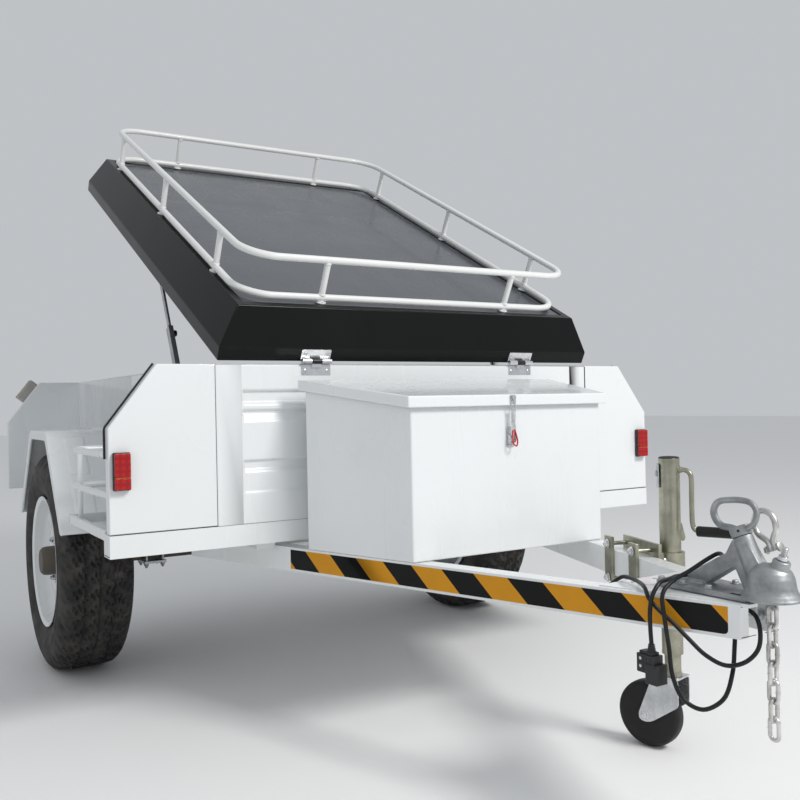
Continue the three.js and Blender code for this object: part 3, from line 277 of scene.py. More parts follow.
def refine(node, mat, body="frame", bevel=0.0012, angle=50):
    """A CAD node's own shape with rounded edges."""
    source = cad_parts[node]
    mesh = source.data.copy()
    mesh.materials.clear()
    mesh.materials.append(mat)
    bm = bmesh.new()
    bm.from_mesh(mesh)
    bmesh.ops.remove_doubles(bm, verts=bm.verts, dist=1e-5)
    bmesh.ops.dissolve_limit(bm, angle_limit=math.radians(0.6), verts=bm.verts, edges=bm.edges)
    for f in bm.faces:
        f.material_index = 0
    bm.to_mesh(mesh)
    bm.free()
    if "custom_normal" in mesh.attributes:
        mesh.attributes.remove(mesh.attributes["custom_normal"])
    dress(link(f"{node}_detailed", mesh), body, node, bevel, angle=angle)


# ---------- materials ----------
class Nodes:
    def __init__(self, name):
        self.mat = bpy.data.materials.new(name)
        self.mat.use_nodes = True
        self.tree = self.mat.node_tree
        self.bsdf = self.tree.nodes["Principled BSDF"]
        self.coord = self.tree.nodes.new("ShaderNodeTexCoord").outputs["Object"]

    def node(self, kind, values=None, **settings):
        n = self.tree.nodes.new(kind)
        for k, v in settings.items():
            setattr(n, k, v)
        for k, v in (values or {}).items():
            if isinstance(v, bpy.types.NodeSocket):
                self.tree.links.new(v, n.inputs[k])
            else:
                n.inputs[k].default_value = v
        return n

    def noise(self, scale, detail=4.0, stretch=None):
        c = self.coord
        if stretch:
            c = self.node("ShaderNodeMapping", {"Vector": c, "Scale": stretch}).outputs[0]
        return self.node("ShaderNodeTexNoise", {"Vector": c, "Scale": scale, "Detail": detail,
                                                "Roughness": 0.55}).outputs["Fac"]

    def cells(self, scale):
        return self.node("ShaderNodeTexVoronoi", {"Vector": self.coord, "Scale": scale},
                         feature="F1").outputs["Color"]

    def span(self, value, lo, hi, a=0.3, b=0.7):
        return self.node("ShaderNodeMapRange", {"Value": value, "From Min": a, "From Max": b,
                                                "To Min": lo, "To Max": hi}).outputs[0]

    def mix(self, fac, a, b):
        n = self.node("ShaderNodeMix", data_type="RGBA")
        for key, v in (("Factor", fac), ("A", a), ("B", b)):
            s = [i for i in n.inputs if i.name == key and i.type in ("RGBA", "VALUE")
                 and (key == "Factor" or i.type == "RGBA")][0]
            if isinstance(v, bpy.types.NodeSocket):
                self.tree.links.new(v, s)
            else:
                s.default_value = v if isinstance(v, float) else (*v, 1.0)
        return [o for o in n.outputs if o.type == "RGBA"][0]

    def math(self, op, a, b=None):
        n = self.node("ShaderNodeMath", operation=op)
        for i, v in enumerate((a, b)):
            if isinstance(v, bpy.types.NodeSocket):
                self.tree.links.new(v, n.inputs[i])
            elif v is not None:
                n.inputs[i].default_value = v
        return n.outputs[0]

    def bump(self, height, strength, distance=0.001, under=None):
        values = {"Height": height, "Strength": strength, "Distance": distance}
        if under:
            values["Normal"] = under
        return self.node("ShaderNodeBump", values).outputs[0]

    def set(self, **sockets):
        for key, v in sockets.items():
            s = self.bsdf.inputs[key.replace("_", " ")]
            if isinstance(v, bpy.types.NodeSocket):
                self.tree.links.new(v, s)
            else:
                s.default_value = (*v, 1.0) if isinstance(v, tuple) else v
        return self


def paint(name, base, dirt, rough, coat=0.0, peel=0.05, grime=0.25, spec=0.5):
    """Sprayed paint: orange peel, darker towards the bottom, and faint handling marks."""
    m = Nodes(name)
    cloud = m.noise(2.3, 5)
    streak = m.noise(7, 2, stretch=(1.0, 1.0, 0.3))
    height = m.node("ShaderNodeSeparateXYZ", {"Vector": m.coord}).outputs["Z"]
    # colour darkens towards the bottom, below 0.62 m, scaled by the grime amount
    low = m.span(height, grime * 1.6, 0.0, 0.42, 0.62)
    fac = m.math("MULTIPLY", m.math("ADD", m.span(cloud, 0, grime), low), m.span(streak, 0.35, 1.0))
    m.set(Base_Color=m.mix(fac, base, dirt), Roughness=m.span(streak, rough * 0.85, rough * 1.25),
          Coat_Weight=coat, Coat_Roughness=0.06, Specular_IOR_Level=spec)
    m.set(Normal=m.bump(m.noise(520, 2), peel, 0.0006, m.bump(m.noise(7, 2), peel, 0.004)))
    return m.mat


def metal(name, light, dark, rough, spangle=0.0, grain=0.2, brushed=None, metallic=0.9):
    """Plated or cast metal: crystal spangle, stains and a pitted or drawn surface."""
    m = Nodes(name)
    stain = m.noise(28, 6)
    fac = m.span(stain, 0.0, 1.0, 0.35, 0.68)
    if spangle:
        cell = m.node("ShaderNodeSeparateColor", {"Color": m.cells(150)}).outputs[0]
        fac = m.math("ADD", m.math("MULTIPLY", fac, 1 - spangle), m.math("MULTIPLY", cell, spangle))
    fine = m.noise(700, 3, stretch=brushed) if brushed else m.noise(650, 4)
    m.set(Base_Color=m.mix(fac, light, dark), Metallic=metallic,
          Roughness=m.span(stain, rough * 0.8, rough * 1.3),
          Normal=m.bump(fine, grain, 0.0005))
    return m.mat


def rubber(name, base, dust, rough, fine=0.3, amount=0.5, spec=0.5):
    m = Nodes(name)
    fac = m.span(m.noise(14, 6), 0.0, amount, 0.4, 0.75)
    m.set(Base_Color=m.mix(fac, base, dust), Roughness=m.span(m.noise(40, 4),
                                                              rough * 0.85, rough * 1.12),
          Specular_IOR_Level=spec, Normal=m.bump(m.noise(420, 4), fine, 0.0006))
    return m.mat


def lens(name, color, deep):
    """Moulded lamp lens with a grid of prisms under a glossy skin."""
    m = Nodes(name)
    wave = [m.node("ShaderNodeTexWave", {"Vector": m.coord, "Scale": 21.0}, bands_direction=d)
            .outputs["Fac"] for d in ("Y", "Z")]
    prisms = m.math("MULTIPLY", *wave)
    m.set(Base_Color=m.mix(m.span(prisms, 0.0, 1.0, 0.0, 1.0), deep, color), Roughness=0.22,
          Coat_Weight=0.45, Coat_Roughness=0.04, Specular_IOR_Level=0.3, Normal=m.bump(prisms, 0.35,
                                                                                       0.001))
    return m.mat


WHITE = paint("white_paint", (0.82, 0.845, 0.855), (0.62, 0.61, 0.57), 0.26, coat=0.35, grime=0.14)
RACK_WHITE = paint("rack_white", (0.80, 0.81, 0.80), (0.58, 0.57, 0.53), 0.36, coat=0.1, grime=0.15)
BLACK = paint("lid_black", (0.0060, 0.0078, 0.0070), (0.02, 0.0215, 0.0195), 0.21, coat=0.0, peel=0.03,
              grime=0.06, spec=0.16)
ROOF = paint("roof_paint", (0.058, 0.066, 0.078), (0.115, 0.125, 0.135), 0.27, coat=0.15, peel=0.06,
             grime=0.5)
CHASSIS_BLACK = paint("chassis_black", (0.014, 0.014, 0.015), (0.10, 0.085, 0.065), 0.5, peel=0.15,
                      grime=0.5)
ZINC = metal("yellow_zinc", (0.44, 0.43, 0.345), (0.27, 0.265, 0.205), 0.34, spangle=0.1, grain=0.15,
             brushed=(1, 1, 0.08))
BRIGHT = metal("bright_zinc", (0.80, 0.81, 0.82), (0.55, 0.56, 0.58), 0.24, grain=0.1)
GALV = metal("galvanised", (0.58, 0.60, 0.615), (0.38, 0.40, 0.42), 0.42, spangle=0.5, grain=0.35)
CAST = metal("cast_zinc", (0.43, 0.445, 0.45), (0.27, 0.28, 0.29), 0.5, spangle=0.25, grain=0.6,
             metallic=0.85)
CHAIN = metal("chain_zinc", (0.74, 0.74, 0.72), (0.45, 0.44, 0.42), 0.36, grain=0.4)
TYRE = rubber("tyre_rubber", (0.012, 0.0118, 0.0115), (0.085, 0.078, 0.066), 0.72, 0.4, 0.75)
SOLID = rubber("wheel_rubber", (0.0055, 0.0055, 0.0058), (0.018, 0.0175, 0.0165),
               0.5, 0.2, 0.5, spec=0.35)
CABLE = rubber("cable_rubber", (0.005, 0.006, 0.0065), (0.018, 0.018, 0.018),
               0.36, 0.12, 0.4, spec=0.35)
PLASTIC = rubber("black_plastic", (0.008, 0.009, 0.009), (0.035, 0.035, 0.035), 0.34, 0.35, 0.35)
SEAL = rubber("seal_rubber", (0.009, 0.009, 0.009), (0.03, 0.03, 0.03), 0.6, 0.2, 0.4)
# dark seams and the jockey cap, and painted shade inside holes and slots
SHADOW = rubber("seam_dark_and_hole_shade", (0.02, 0.021, 0.022), (0.05, 0.05, 0.05), 0.8, 0.1, 0.4)
RED = lens("red_lens", (0.50, 0.006, 0.008), (0.32, 0.003, 0.005))
AMBER_LENS = lens("amber_lens", (0.80, 0.27, 0.02), (0.55, 0.16, 0.01))
RED_GRIP = rubber("red_grip", (0.55, 0.02, 0.025), (0.35, 0.03, 0.03), 0.35, 0.1, 0.3)
TAPE_AMBER = rubber("tape_amber", (0.66, 0.29, 0.008), (0.54, 0.23, 0.008), 0.34, 0.06, 0.5, spec=0.25)
TAPE_BLACK = rubber("tape_black", (0.003, 0.0034, 0.003), (0.009, 0.0095, 0.009),
                    0.4, 0.06, 0.5, spec=0.2)
HOUSING = rubber("lamp_housing", (0.40, 0.39, 0.365), (0.28, 0.27, 0.25), 0.42, 0.1, 0.5)

# ---------- camera ----------
YAW, PITCH, ROLL = 2.5957, 0.0032, -0.02
FOCAL_PX, FRAME_PX = 907.1, 800
ahead = Vector((math.cos(YAW) * math.cos(PITCH), math.sin(YAW) * math.cos(PITCH), math.sin(PITCH)))
right = ahead.cross(Vector((0, 0, 1))).normalized()
up = right.cross(ahead)
right, up = (right * math.cos(ROLL) + up * math.sin(ROLL),
             up * math.cos(ROLL) - right * math.sin(ROLL))
camera = link("camera", bpy.data.cameras.new("camera"))
camera.data.sensor_width = 36
camera.data.lens = 36 * FOCAL_PX / FRAME_PX
turn = Matrix((right, up, -ahead)).transposed().to_4x4()
camera.matrix_world = Matrix.Translation((F + 2.1195, -1.3633, 0.8162)) @ turn
bpy.context.scene.camera = camera

# ---------- cable, first because its room is checked ----------
CABLE_R = 0.004
CABLE_ROUTE = [
    (770, -98, 428), (773, -80, 434), (790, -68, 450), (815, -66, 465), (845, -72, 467),
               (880, -86, 466),
    (912, -106, 463), (932, -117, 449), (950, -112, 431), (975, -102, 410), (1000, -92, 386),
    (1026, -78, 360), (1050, -55, 344), (1070, -30, 350), (1082, -10, 372), (1084, -6, 405),
    (1074, -4, 428), (1057, -4, 436), (1040, -4, 428), (1033, -6, 405), (1036, -14, 370),
    (1046, -34, 325), (1048, -62, 285), (1025, -88, 266), (998, -106, 280), (984, -116, 318),
    (978, -118, 370), (972, -121, 420), (962, -114, 462), (962, -88, 482), (975, -55, 500),
    (988, -24, 519), (992, 0, 527), (982, 24, 518), (955, 36, 492), (928, 26, 479), (915, 0, 476),
    (920, -30, 478), (932, -66, 478), (941, -100, 476), (944, -122, 455), (946, -130, 430),
    (946, -130, 400), (946, -128, 372),
]
route = [ROW @ q for q in catmull(CABLE_ROUTE, 6)]
data = bpy.data.curves.new("cable_lead", "CURVE")
data.dimensions = "3D"
data.bevel_depth, data.bevel_resolution, data.use_fill_caps = CABLE_R, 5, True
spline = data.splines.new("POLY")
spline.points.add(len(route) - 1)
for point, q in zip(spline.points, route):
    point.co = (*q, 1)
data.materials.append(CABLE)
cable = link("cable_lead", data)
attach(cable, "frame")
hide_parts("cable")

px, py = CABLE_ROUTE[-1][:2]
plug = Shape()
plug.box(px - 26, px + 16, py - 12, py + 12, 318, 352)
plug.box(px - 22, px + 10, py - 9, py + 9, 351, 357)
plug.box(px - 4, px + 24, py - 14, py + 14, 301, 337)
plug.box(px + 17, px + 23, py - 16, py + 16, 324, 333)
for i in range(5):
    plug.box(px - 20 + i * 8, px - 17 + i * 8, py - 13, py + 13, 322, 347)
plug_obj = plug.make("plug_body", PLASTIC, node="cable_plug", bevel=0.0025, segments=3)
boot = Shape().lathe([(0, 354), (9, 354), (8.6, 358), (6.9, 360), (7.4, 362), (6.2, 364), (6.8, 366),
                      (5.6, 368), (6.0, 370), (4.6, 371.5), (0, 371.5)], (px, py, 0), sides=32)
boot_obj = boot.make("plug_boot", PLASTIC)
screws = Shape()
for dz in (330, 344):
    screws.lathe([(0, 0), (3, 0), (3, 1), (2, 1.8), (0, 1.8)], (px - 16, py - 12, dz), (0, -1, 0), 20)
screws_obj = screws.make("plug_screws", BRIGHT)
grommet = Shape().lathe([(0, 0.4), (10, 0.4), (10, 3), (8.4, 4.4), (7.6, 8), (6, 11.8), (0, 11.8)],
                        sides=32)
seat = at(765, -rail_outer(765) + RAIL_WALL / math.cos(RAIL_ANGLE), 428) @ Matrix.Rotation(
    RAIL_ANGLE, 4, "Z") @ Matrix.Rotation(-math.pi / 2, 4, "X") @ MM
grommet.make("grommet", SEAL, place=seat, node="cable_grommet")

# ---------- tub ----------
HALF, REAR, FLOOR, TOP = 600, -1555, 525, 920
WINDOW = 535                         # half the width of the front panel's pressed part
FRONT_BANDS = [(856, 0), (854, 10), (826, 10), (818, 2), (808, 2), (804, 10), (796, 10), (775, 0),
               (683, 0), (679, 9), (660, 9), (650, 3), (606, 3), (598, 0), (535, 0)]
SIDE_BANDS = [(856, 0), (852, 10), (826, 10), (818, 0), (770, 0), (766, 10), (740, 10), (732, 0),
              (684, 0), (680, 10), (654, 10), (646, 0), (560, 0)]


def depth(bands, z):
    for (za, da), (zb, db) in zip(bands, bands[1:]):
        if zb <= z <= za:
            return da + (db - da) * (za - z) / (za - zb)
    return 0.0


def soft_depth(bands, z, r=2.2):
    return sum(depth(bands, z + d) for d in (-r, -r / 2, 0, r / 2, r)) / 5


def pressed(bands, span_from, span_to, put):
    """A panel whose pressed bands fade out towards their two ends."""
    zs = [FLOOR + (TOP - 2 - FLOOR) * i / 200 for i in range(201)]
    soft = 9.0
    us = [span_from, span_from + soft * 0.3, span_from + soft * 0.6, span_from + soft]
    us += [span_from + (span_to - span_from) * t for t in (0.25, 0.5, 0.75)]
    us += [span_to - soft, span_to - soft * 0.6, span_to - soft * 0.3, span_to]
    rows = []
    for u in us:
        edge = min(abs(u - span_from), abs(u - span_to)) / soft
        keep = 1 if edge >= 1 else edge * edge * (3 - 2 * edge)
        rows.append([put(u, z, soft_depth(bands, z) * keep) for z in zs])
    return rows


tub = Shape()
tub.grid(pressed(FRONT_BANDS, -WINDOW, WINDOW, lambda u, z, d: (-d, u, z)))
for s in (-1, 1):
    tub.grid([[(0, s * WINDOW, z), (0, s * (HALF - 3), z), (-1, s * (HALF - 1), z), (-3, s * HALF, z)]
              for z in (FLOOR, TOP - 2)])
    side_from, side_to = AXLE_X + 155, -60
    tub.grid(pressed(SIDE_BANDS, side_from, side_to, lambda u, z, d: (u, s * (HALF - d), z)))
    for ends in ((side_to, -3), (REAR, side_from)):
        tub.grid([[(u, s * HALF, z) for z in (FLOOR, TOP - 2)] for u in ends])
    lip = [(0, TOP - 2), (-1, TOP - 0.6), (-3, TOP), (-19, TOP), (-21, TOP - 1), (-22, TOP - 4),
           (-22, TOP - 14)]
    tub.grid([[(x, s * (HALF + u), z) for u, z in lip] for x in (REAR, -1)])
    tub.grid([[(REAR, s * (HALF - u), z) for u in (0, 32)] for z in (FLOOR, TOP)])
    tub.grid([[(REAR + d, s * (HALF - 32), z) for d in (0, 18)] for z in (FLOOR, TOP)])
tub.grid([[(u, y, z) for u, z in lip] for y in (-HALF + 1, HALF - 1)])
tub.grid([[(x, y, FLOOR + 1) for y in (-HALF, HALF)] for x in (REAR, 0)])
tub.make("tub_sheet", WHITE, node="tub", wall=0.0018, angle=30)

floor_ribs = Shape()
for i in range(9):
    y = -480 + i * 120
    floor_ribs.prism([(y - 24, 527), (y - 17, 531), (y + 17, 531), (y + 24, 527)], "x", REAR + 40, -45)
for s in (-1, 1):
    floor_ribs.box(-318, -282, s * 574, s * 598, 702, 730)
    floor_ribs.rod(5, (-300, s * 556, 720), (-300, s * 576, 720), 20)
floor_ribs.make("tub_floor_ribs", WHITE, bevel=0.001)

trim = Shape()
for s in (-1, 1):
    trim.box(-1.5, 0.35, s * 598.6, s * 601.6, FLOOR - 1, TOP - 3)           # corner seams
trim.box(-1.5, 0.3, -858, 858, 524.0, 525.6)
for s in (-1, 1):
    trim.box(-725, -723, s * 600.2, s * 600.9, 765, 919)                     # seam of the side sheets
    for z in (854, 768, 682):
        trim.box(AXLE_X + 157, AXLE_X + 176, s * 599.4, s * 600.5, z - 2, z + 2)
trim.make("panel_seams", SHADOW)


# ---------- wings ----------
WING_CUT = (149.0, 115.0)            # the clipped top corner's height and width


def wing_outline(inset):
    low = FLOOR + 0.3
    h, w = WING_CUT
    slope = math.hypot(h, w)
    d = inset * (slope - w) / h
    e = inset * (slope - h) / w
    return [(600.3, low + inset), (859 - inset, low + inset), (859 - inset, 771 - e),
            (744 - d, 920 - inset), (600.3, 920 - inset)]


def wing(s, x_face, x_back, closed):
    """A wing panel with a folded edge, closed at the back or with a narrow return all round."""
    shape = Shape()
    face = [(s * y, z) for y, z in wing_outline(0)]
    n = len(face)
    shape.add([(x_face, *q) for q in face], [list(range(n))])
    edge = [(x, *q) for x in (x_face, x_back) for q in face]
    shape.add(edge, [(i, i + 1, n + i + 1, n + i) for i in range(n - 1)])
    if closed:
        shape.add([(x_back, *q) for q in face], [list(range(n))])
    else:
        inner = [(s * y, z) for y, z in wing_outline(14)]
        shape.add([(x_back, *q) for q in face + inner],
                  [(i, i + 1, n + i + 1, n + i) for i in range(n - 1)])
    return shape


def sheet_object(shape, name, mat, body="frame", node=(), wall=0.0018, bevel=0.003, angle=25,
                 place=ROW):
    """A folded sheet: the faces are turned outwards, the folds rounded, and the wall grows inwards."""
    mesh = bpy.data.meshes.new(name)
    mesh.from_pydata([place @ v for v in shape.verts], [], shape.faces)
    bm = bmesh.new()
    bm.from_mesh(mesh)
    bmesh.ops.remove_doubles(bm, verts=bm.verts, dist=1e-5)
    bmesh.ops.recalc_face_normals(bm, faces=bm.faces)
    centre = sum((v.co for v in bm.verts), Vector()) / len(bm.verts)
    vote = sum((f.calc_center_median() - centre).dot(f.normal) * f.calc_area() for f in bm.faces)
    if vote < 0:
        bmesh.ops.reverse_faces(bm, faces=bm.faces)
    bm.to_mesh(mesh)
    bm.free()
    mesh.materials.append(mat)
    dress(link(name, mesh), body, node, bevel, 3, angle, wall)


for name, s in SIDES.items():
    for end, closed, x_face, x_back in (("front", False, 0, -30), ("rear", True, REAR, REAR + 25)):
        sheet_object(wing(s, x_face, x_back, closed), f"{end}_wing_{name}_sheet", WHITE,
                     node=f"{end}_wing_{name}")
    # a dark strip along the wing's back edge
    edge_strip = Shape()
    line = [(-29, s * 744, 921), (-29, s * 860.2, 771), (-29, s * 860.2, 700)]
    edge_strip.tube(fillet(line, 6), 3.2, 10, flat=1.4)
    edge_strip.make(f"wing_edge_strip_{name}", SEAL)

# ---------- mudguards ----------
def arch_line(inset):
    p = [(AXLE_X - 358 + inset, 463), (AXLE_X - 139 + inset * 0.55, 752 - inset),
         (AXLE_X + 139 - inset * 0.55, 752 - inset), (AXLE_X + 358 - inset, 463)]
    return [(q.x, q.y) for q in fillet([(x, z, 0) for x, z in p], 34 - inset * 0.5, 6)]


for name, s in SIDES.items():
    outer, inner = arch_line(0), arch_line(30)
    inner[0], inner[-1] = (inner[0][0], 463), (inner[-1][0], 463)
    across = [600.5, 640, 652, 660, 712, 720, 732, 800, 846, 855.5, 858.3, 859]
    lift = [0, 0, 0, 5, 5, 0, 0, 0, 0, -0.3, -1.6, -4.2]
    rows = []
    n = len(outer)
    for y, up_by in zip(across, lift):
        row = []
        for i, (x, z) in enumerate(outer):
            a, b = outer[max(i - 1, 0)], outer[min(i + 1, n - 1)]
            nx, nz = -(b[1] - a[1]), b[0] - a[0]
            size = math.hypot(nx, nz)
            fade = 1.0 if y > 740 else min(1.0, 2.2 * min(i, n - 1 - i) / n)
            row.append((x + nx / size * (up_by - 0.2) * fade, s * y,
                        z + nz / size * (up_by - 0.2) * fade))
        rows.append(row)
    guard = Shape().grid(rows)
    flange = [[(x, s * 859, z) for x, z in arch_line(d)] for d in (4.4, 26)]
    flange.append([(x, s * 857.5, z) for x, z in arch_line(29)])
    flange.append([(x, s * 853, z) for x, z in arch_line(30)])
    flange[0] = [rows[-1][i] for i in range(n)]
    guard.grid(flange)
    sheet_object(guard, f"mudguard_{name}_sheet", WHITE, node=f"mudguard_{name}", bevel=0, angle=40)
    steps = Shape()
    for t0, t1 in ((0.08, 0.44), (0.52, 0.94)):
        a = Vector((AXLE_X + 139, 0, 752)).lerp(Vector((AXLE_X + 358, 0, 463)), t0)
        b = Vector((AXLE_X + 139, 0, 752)).lerp(Vector((AXLE_X + 358, 0, 463)), t1)
        out = Vector((289, 0, 219)).normalized()
        pts = []
        for y, h in ((748, -1), (756, 5), (806, 5), (814, -1)):
            pts.append((s * y, h))
        quad = [[tuple(base + out * h + Vector((0, y, 0))) for y, h in pts] for base in (a, b)]
        steps.grid(quad)
        for base, end in ((a, -1), (b, 1)):
            along = (b - a).normalized() * (6 * end)
            ridge = [tuple(base + out * h + Vector((0, y, 0))) for y, h in pts]
            foot = [tuple(base + along - out + Vector((0, y, 0))) for y, h in pts]
            steps.grid([ridge, foot])
    steps.make(f"mudguard_steps_{name}", WHITE, bevel=0.002, angle=15)

# ---------- side bays ----------
for name, s in SIDES.items():
    bay = Shape()
    outer, rail_x = 855, -425
    for z in (612, 708):
        line = [(-31, s * (outer - 9), z), (rail_x + 30, s * (outer - 9), z),
                (rail_x + 8, s * (outer - 15), z), (rail_x, s * (outer - 35), z), (rail_x, s * 603, z)]
        bay.tube(catmull(line, 7), 9, 24)
    bay.rod(7, (rail_x + 14, s * (outer - 19), 505), (rail_x + 14, s * (outer - 19), 707))
    bay.rod(7, (rail_x + 2, s * 640, 505), (rail_x + 2, s * 640, 707))
    tray = Shape()
    x0, x1 = rail_x - 40, -56
    section = [(601, 503.4), (outer - 5, 503.4), (outer - 1.4, 504.8), (outer, 508), (outer, 529),
               (outer - 2, 530), (outer - 12, 530)]
    tray.grid([[(x, s * y, z) for y, z in section] for x in (x0, x1)])
    tray.grid([[(x0, s * y, z) for y in (601, outer)] for z in (503.4, 530)])
    bay.make(f"side_bay_{name}_rails", WHITE, node=f"side_bay_{name}")
    sheet_object(tray, f"side_bay_{name}_tray", WHITE, wall=0.002, bevel=0)
    lamp = Shape().box(-150, -128, s * 600.6, s * 612, 866, 908)
    lamp.make(f"side_lamp_{name}", PLASTIC, bevel=0.002, segments=3)
    reflector = Shape().box(-190, -158, s * 600.6, s * 604, 866, 906)
    reflector.make(f"side_reflector_{name}", RED, bevel=0.0012, segments=3)

# ---------- lid ----------
L_LEN, L_HALF, SKIRT, HIGH, BEVEL, REAR_BEVEL = 1516, 593, 37, 130, 50, 25


def ring(x0, x1, half, z):
    return [(x0, -half, z), (x0, half, z), (x1, half, z), (x1, -half, z)]


def loops(shape, rings):
    """Joins rings of the same number of points, and caps the last one."""
    n = len(rings[0])
    verts = [q for r in rings for q in r]
    faces = [(i * n + k, i * n + (k + 1) % n, (i + 1) * n + (k + 1) % n, (i + 1) * n + k)
             for i in range(len(rings) - 1) for k in range(n)]
    faces.append([(len(rings) - 1) * n + k for k in range(n)])
    return shape.add(verts, faces)


lid = Shape()
loops(lid, [ring(-9, -L_LEN + 9, L_HALF - 9, 0.5), ring(0, -L_LEN, L_HALF, 0.5),
            ring(0, -L_LEN, L_HALF, SKIRT),
            ring(-BEVEL, -L_LEN + REAR_BEVEL, L_HALF - BEVEL, HIGH),
            ring(-BEVEL - 24, -L_LEN + REAR_BEVEL + 24, L_HALF - BEVEL - 24, HIGH),
            ring(-BEVEL - 25.5, -L_LEN + REAR_BEVEL + 25.5, L_HALF - BEVEL - 25.5, HIGH - 4)])
sheet_object(lid, "lid_pressing", BLACK, "lid", "lid_shell", bevel=0.004, angle=20, place=LID)
bows = Shape()
for x in (-330, -760, -1190):
    bows.prism([(x - 34, 119), (x - 24, 100), (x + 24, 100), (x + 34, 119), (x + 34, 121),
                (x - 34, 121)], "y",
               -520, 520)
for s in (-1, 1):
    bows.box(-671, -639, s * 571, s * 591, 8, 34)
    bows.rod(4, (-655, s * 557, 22), (-655, s * 573, 22), 20)
bows.make("lid_bows", BLACK, "lid", LID, bevel=0.002)
gasket = Shape()
gasket.tube(fillet(ring(-14, -L_LEN + 14, L_HALF - 14, -1.2), 20, closed=True), 3.4, 12, closed=True)
gasket.make("lid_gasket", SEAL, "lid", LID)

panel = Shape()
x0, x1, half = -L_LEN + REAR_BEVEL + 26, -BEVEL - 26, L_HALF - BEVEL - 26
nx, ny = 36, 30
rows = []
for i in range(nx + 1):
    row = []
    for k in range(ny + 1):
        u, v = i / nx, k / ny
        dome = math.sin(math.pi * u) * math.sin(math.pi * v)
        ripple = 0.35 * noise.noise(Vector((u * 3.1, v * 2.7, 0.4)))
        row.append((x0 + (x1 - x0) * u, half * (2 * v - 1), HIGH - 3.2 + dome * (1.0 + ripple) * 0.9))
    rows.append(row)
panel.grid(rows)
panel.make("roof_sheet", ROOF, "lid", LID, node="roof_panel", angle=30)

RACK_FRONT, RACK_REAR, RACK_HALF = 90, 1475, 523
RACK_LOW, RACK_HIGH, RACK_CORNER, RACK_R = 143, 246, 95, 9.5
rack = Shape()


def rack_line(z):
    line = []
    for cx, cy, a0 in ((-RACK_FRONT - RACK_CORNER, RACK_HALF - RACK_CORNER, 0),
                       (-RACK_REAR + RACK_CORNER, RACK_HALF - RACK_CORNER, 90),
                       (-RACK_REAR + RACK_CORNER, -RACK_HALF + RACK_CORNER, 180),
                       (-RACK_FRONT - RACK_CORNER, -RACK_HALF + RACK_CORNER, 270)):
        for k in range(11):
            a = math.radians(a0 + 9 * k)
            line.append((cx + RACK_CORNER * math.cos(a), cy + RACK_CORNER * math.sin(a), z))
    return line


for z in (RACK_LOW, RACK_HIGH):
    rack.tube(rack_line(z), RACK_R, 20, closed=True)
posts = [(-RACK_FRONT, y) for y in (-300, 300)] + [(-RACK_REAR, y) for y in (-285, 285)]
posts += [(-u, s * RACK_HALF) for u in (290, 810, 1345) for s in (-1, 1)]
for x, y in posts:
    rack.rod(RACK_R - 1, (x, y, HIGH + 0.5), (x, y, RACK_HIGH), 18)
    for z, d in ((RACK_LOW, 1), (RACK_LOW, -1), (RACK_HIGH, -1)):      # weld beads
        rack.lathe([(RACK_R - 1.4, z + d * 8), (RACK_R + 0.9, z + d * 8.6), (RACK_R + 0.2, z + d * 11),
                    (RACK_R - 1.4, z + d * 12)], (x, y, 0), sides=18)
    rack.lathe([(0, HIGH + 0.3), (15, HIGH + 0.3), (15, HIGH + 2.2), (14, HIGH + 3), (0, HIGH + 3)],
               (x, y, 0), sides=28)
rack.make("roof_rack_tubes", RACK_WHITE, "lid", LID, node="roof_rack")
feet = Shape()
for x, y in posts:
    for dx, dy in ((11, 0), (-11, 0)):
        feet.lathe([(0, HIGH + 3), (2.6, HIGH + 3), (2.2, HIGH + 4.6), (0, HIGH + 5.2)],
                   (x + dx, y + dy, 0),
                   sides=14)
feet.make("rack_foot_screws", BRIGHT, "lid", LID)

# ---------- lid hinges ----------
SCREW_HEAD = [(0, 0), (4.6, 0), (4.4, 0.8), (2.6, 1.7), (0, 1.9)]
pin = LID.inverted() @ Vector((F + 0.008, 0, 0.928))
for name, y in (("right", -330), ("left", 340)):
    leaf = Shape()
    leaf.prism([(y - 42, 893), (y - 40, 892), (y + 40, 892), (y + 42, 893), (y + 42, 920),
                (y - 42, 920)], "x",
               0.3, 2.6)
    leaf.box(0.3, 8, y - 13.5, y + 13.5, 912, 926)
    for dy in (-31, 31):
        leaf.lathe(SCREW_HEAD, (2.6, y + dy, 904), X_AXIS, 18)
    leaf.make(f"hinge_tub_{name}", BRIGHT, node=f"hinge_leaf_tub_{name}", bevel=0.0006)
    barrel = Shape().lathe([(0, -13.8), (6.4, -13.8), (7, -13.2), (7, 13.2), (6.4, 13.8), (0, 13.8)],
                           (8, y, 928), (0, 1, 0), 32)
    barrel.make(f"hinge_bush_{name}", PLASTIC)
    top = Shape()
    top.prism([(y - 42, 5), (y + 42, 5), (y + 42, 32), (y + 40, 34), (y - 40, 34), (y - 42, 32)],
              "x", 0.3, 2.6)
    for e in (-1, 1):
        a, b = sorted((y + e * 14.3, y + e * 42))
        top.lathe([(0, a), (6.4, a), (7, a + 0.6), (7, b - 0.6), (6.4, b), (0, b)],
                  (pin.x, 0, pin.z), (0, 1, 0),
                  32)
        top.box(0.4, pin.x, a + 0.6, b - 0.6, 3.5, 9)
        top.lathe(SCREW_HEAD, (2.6, y + e * 31, 22), X_AXIS, 18)
    top.make(f"hinge_lid_{name}", BRIGHT, "lid", LID, node=f"hinge_leaf_lid_{name}", bevel=0.0006)

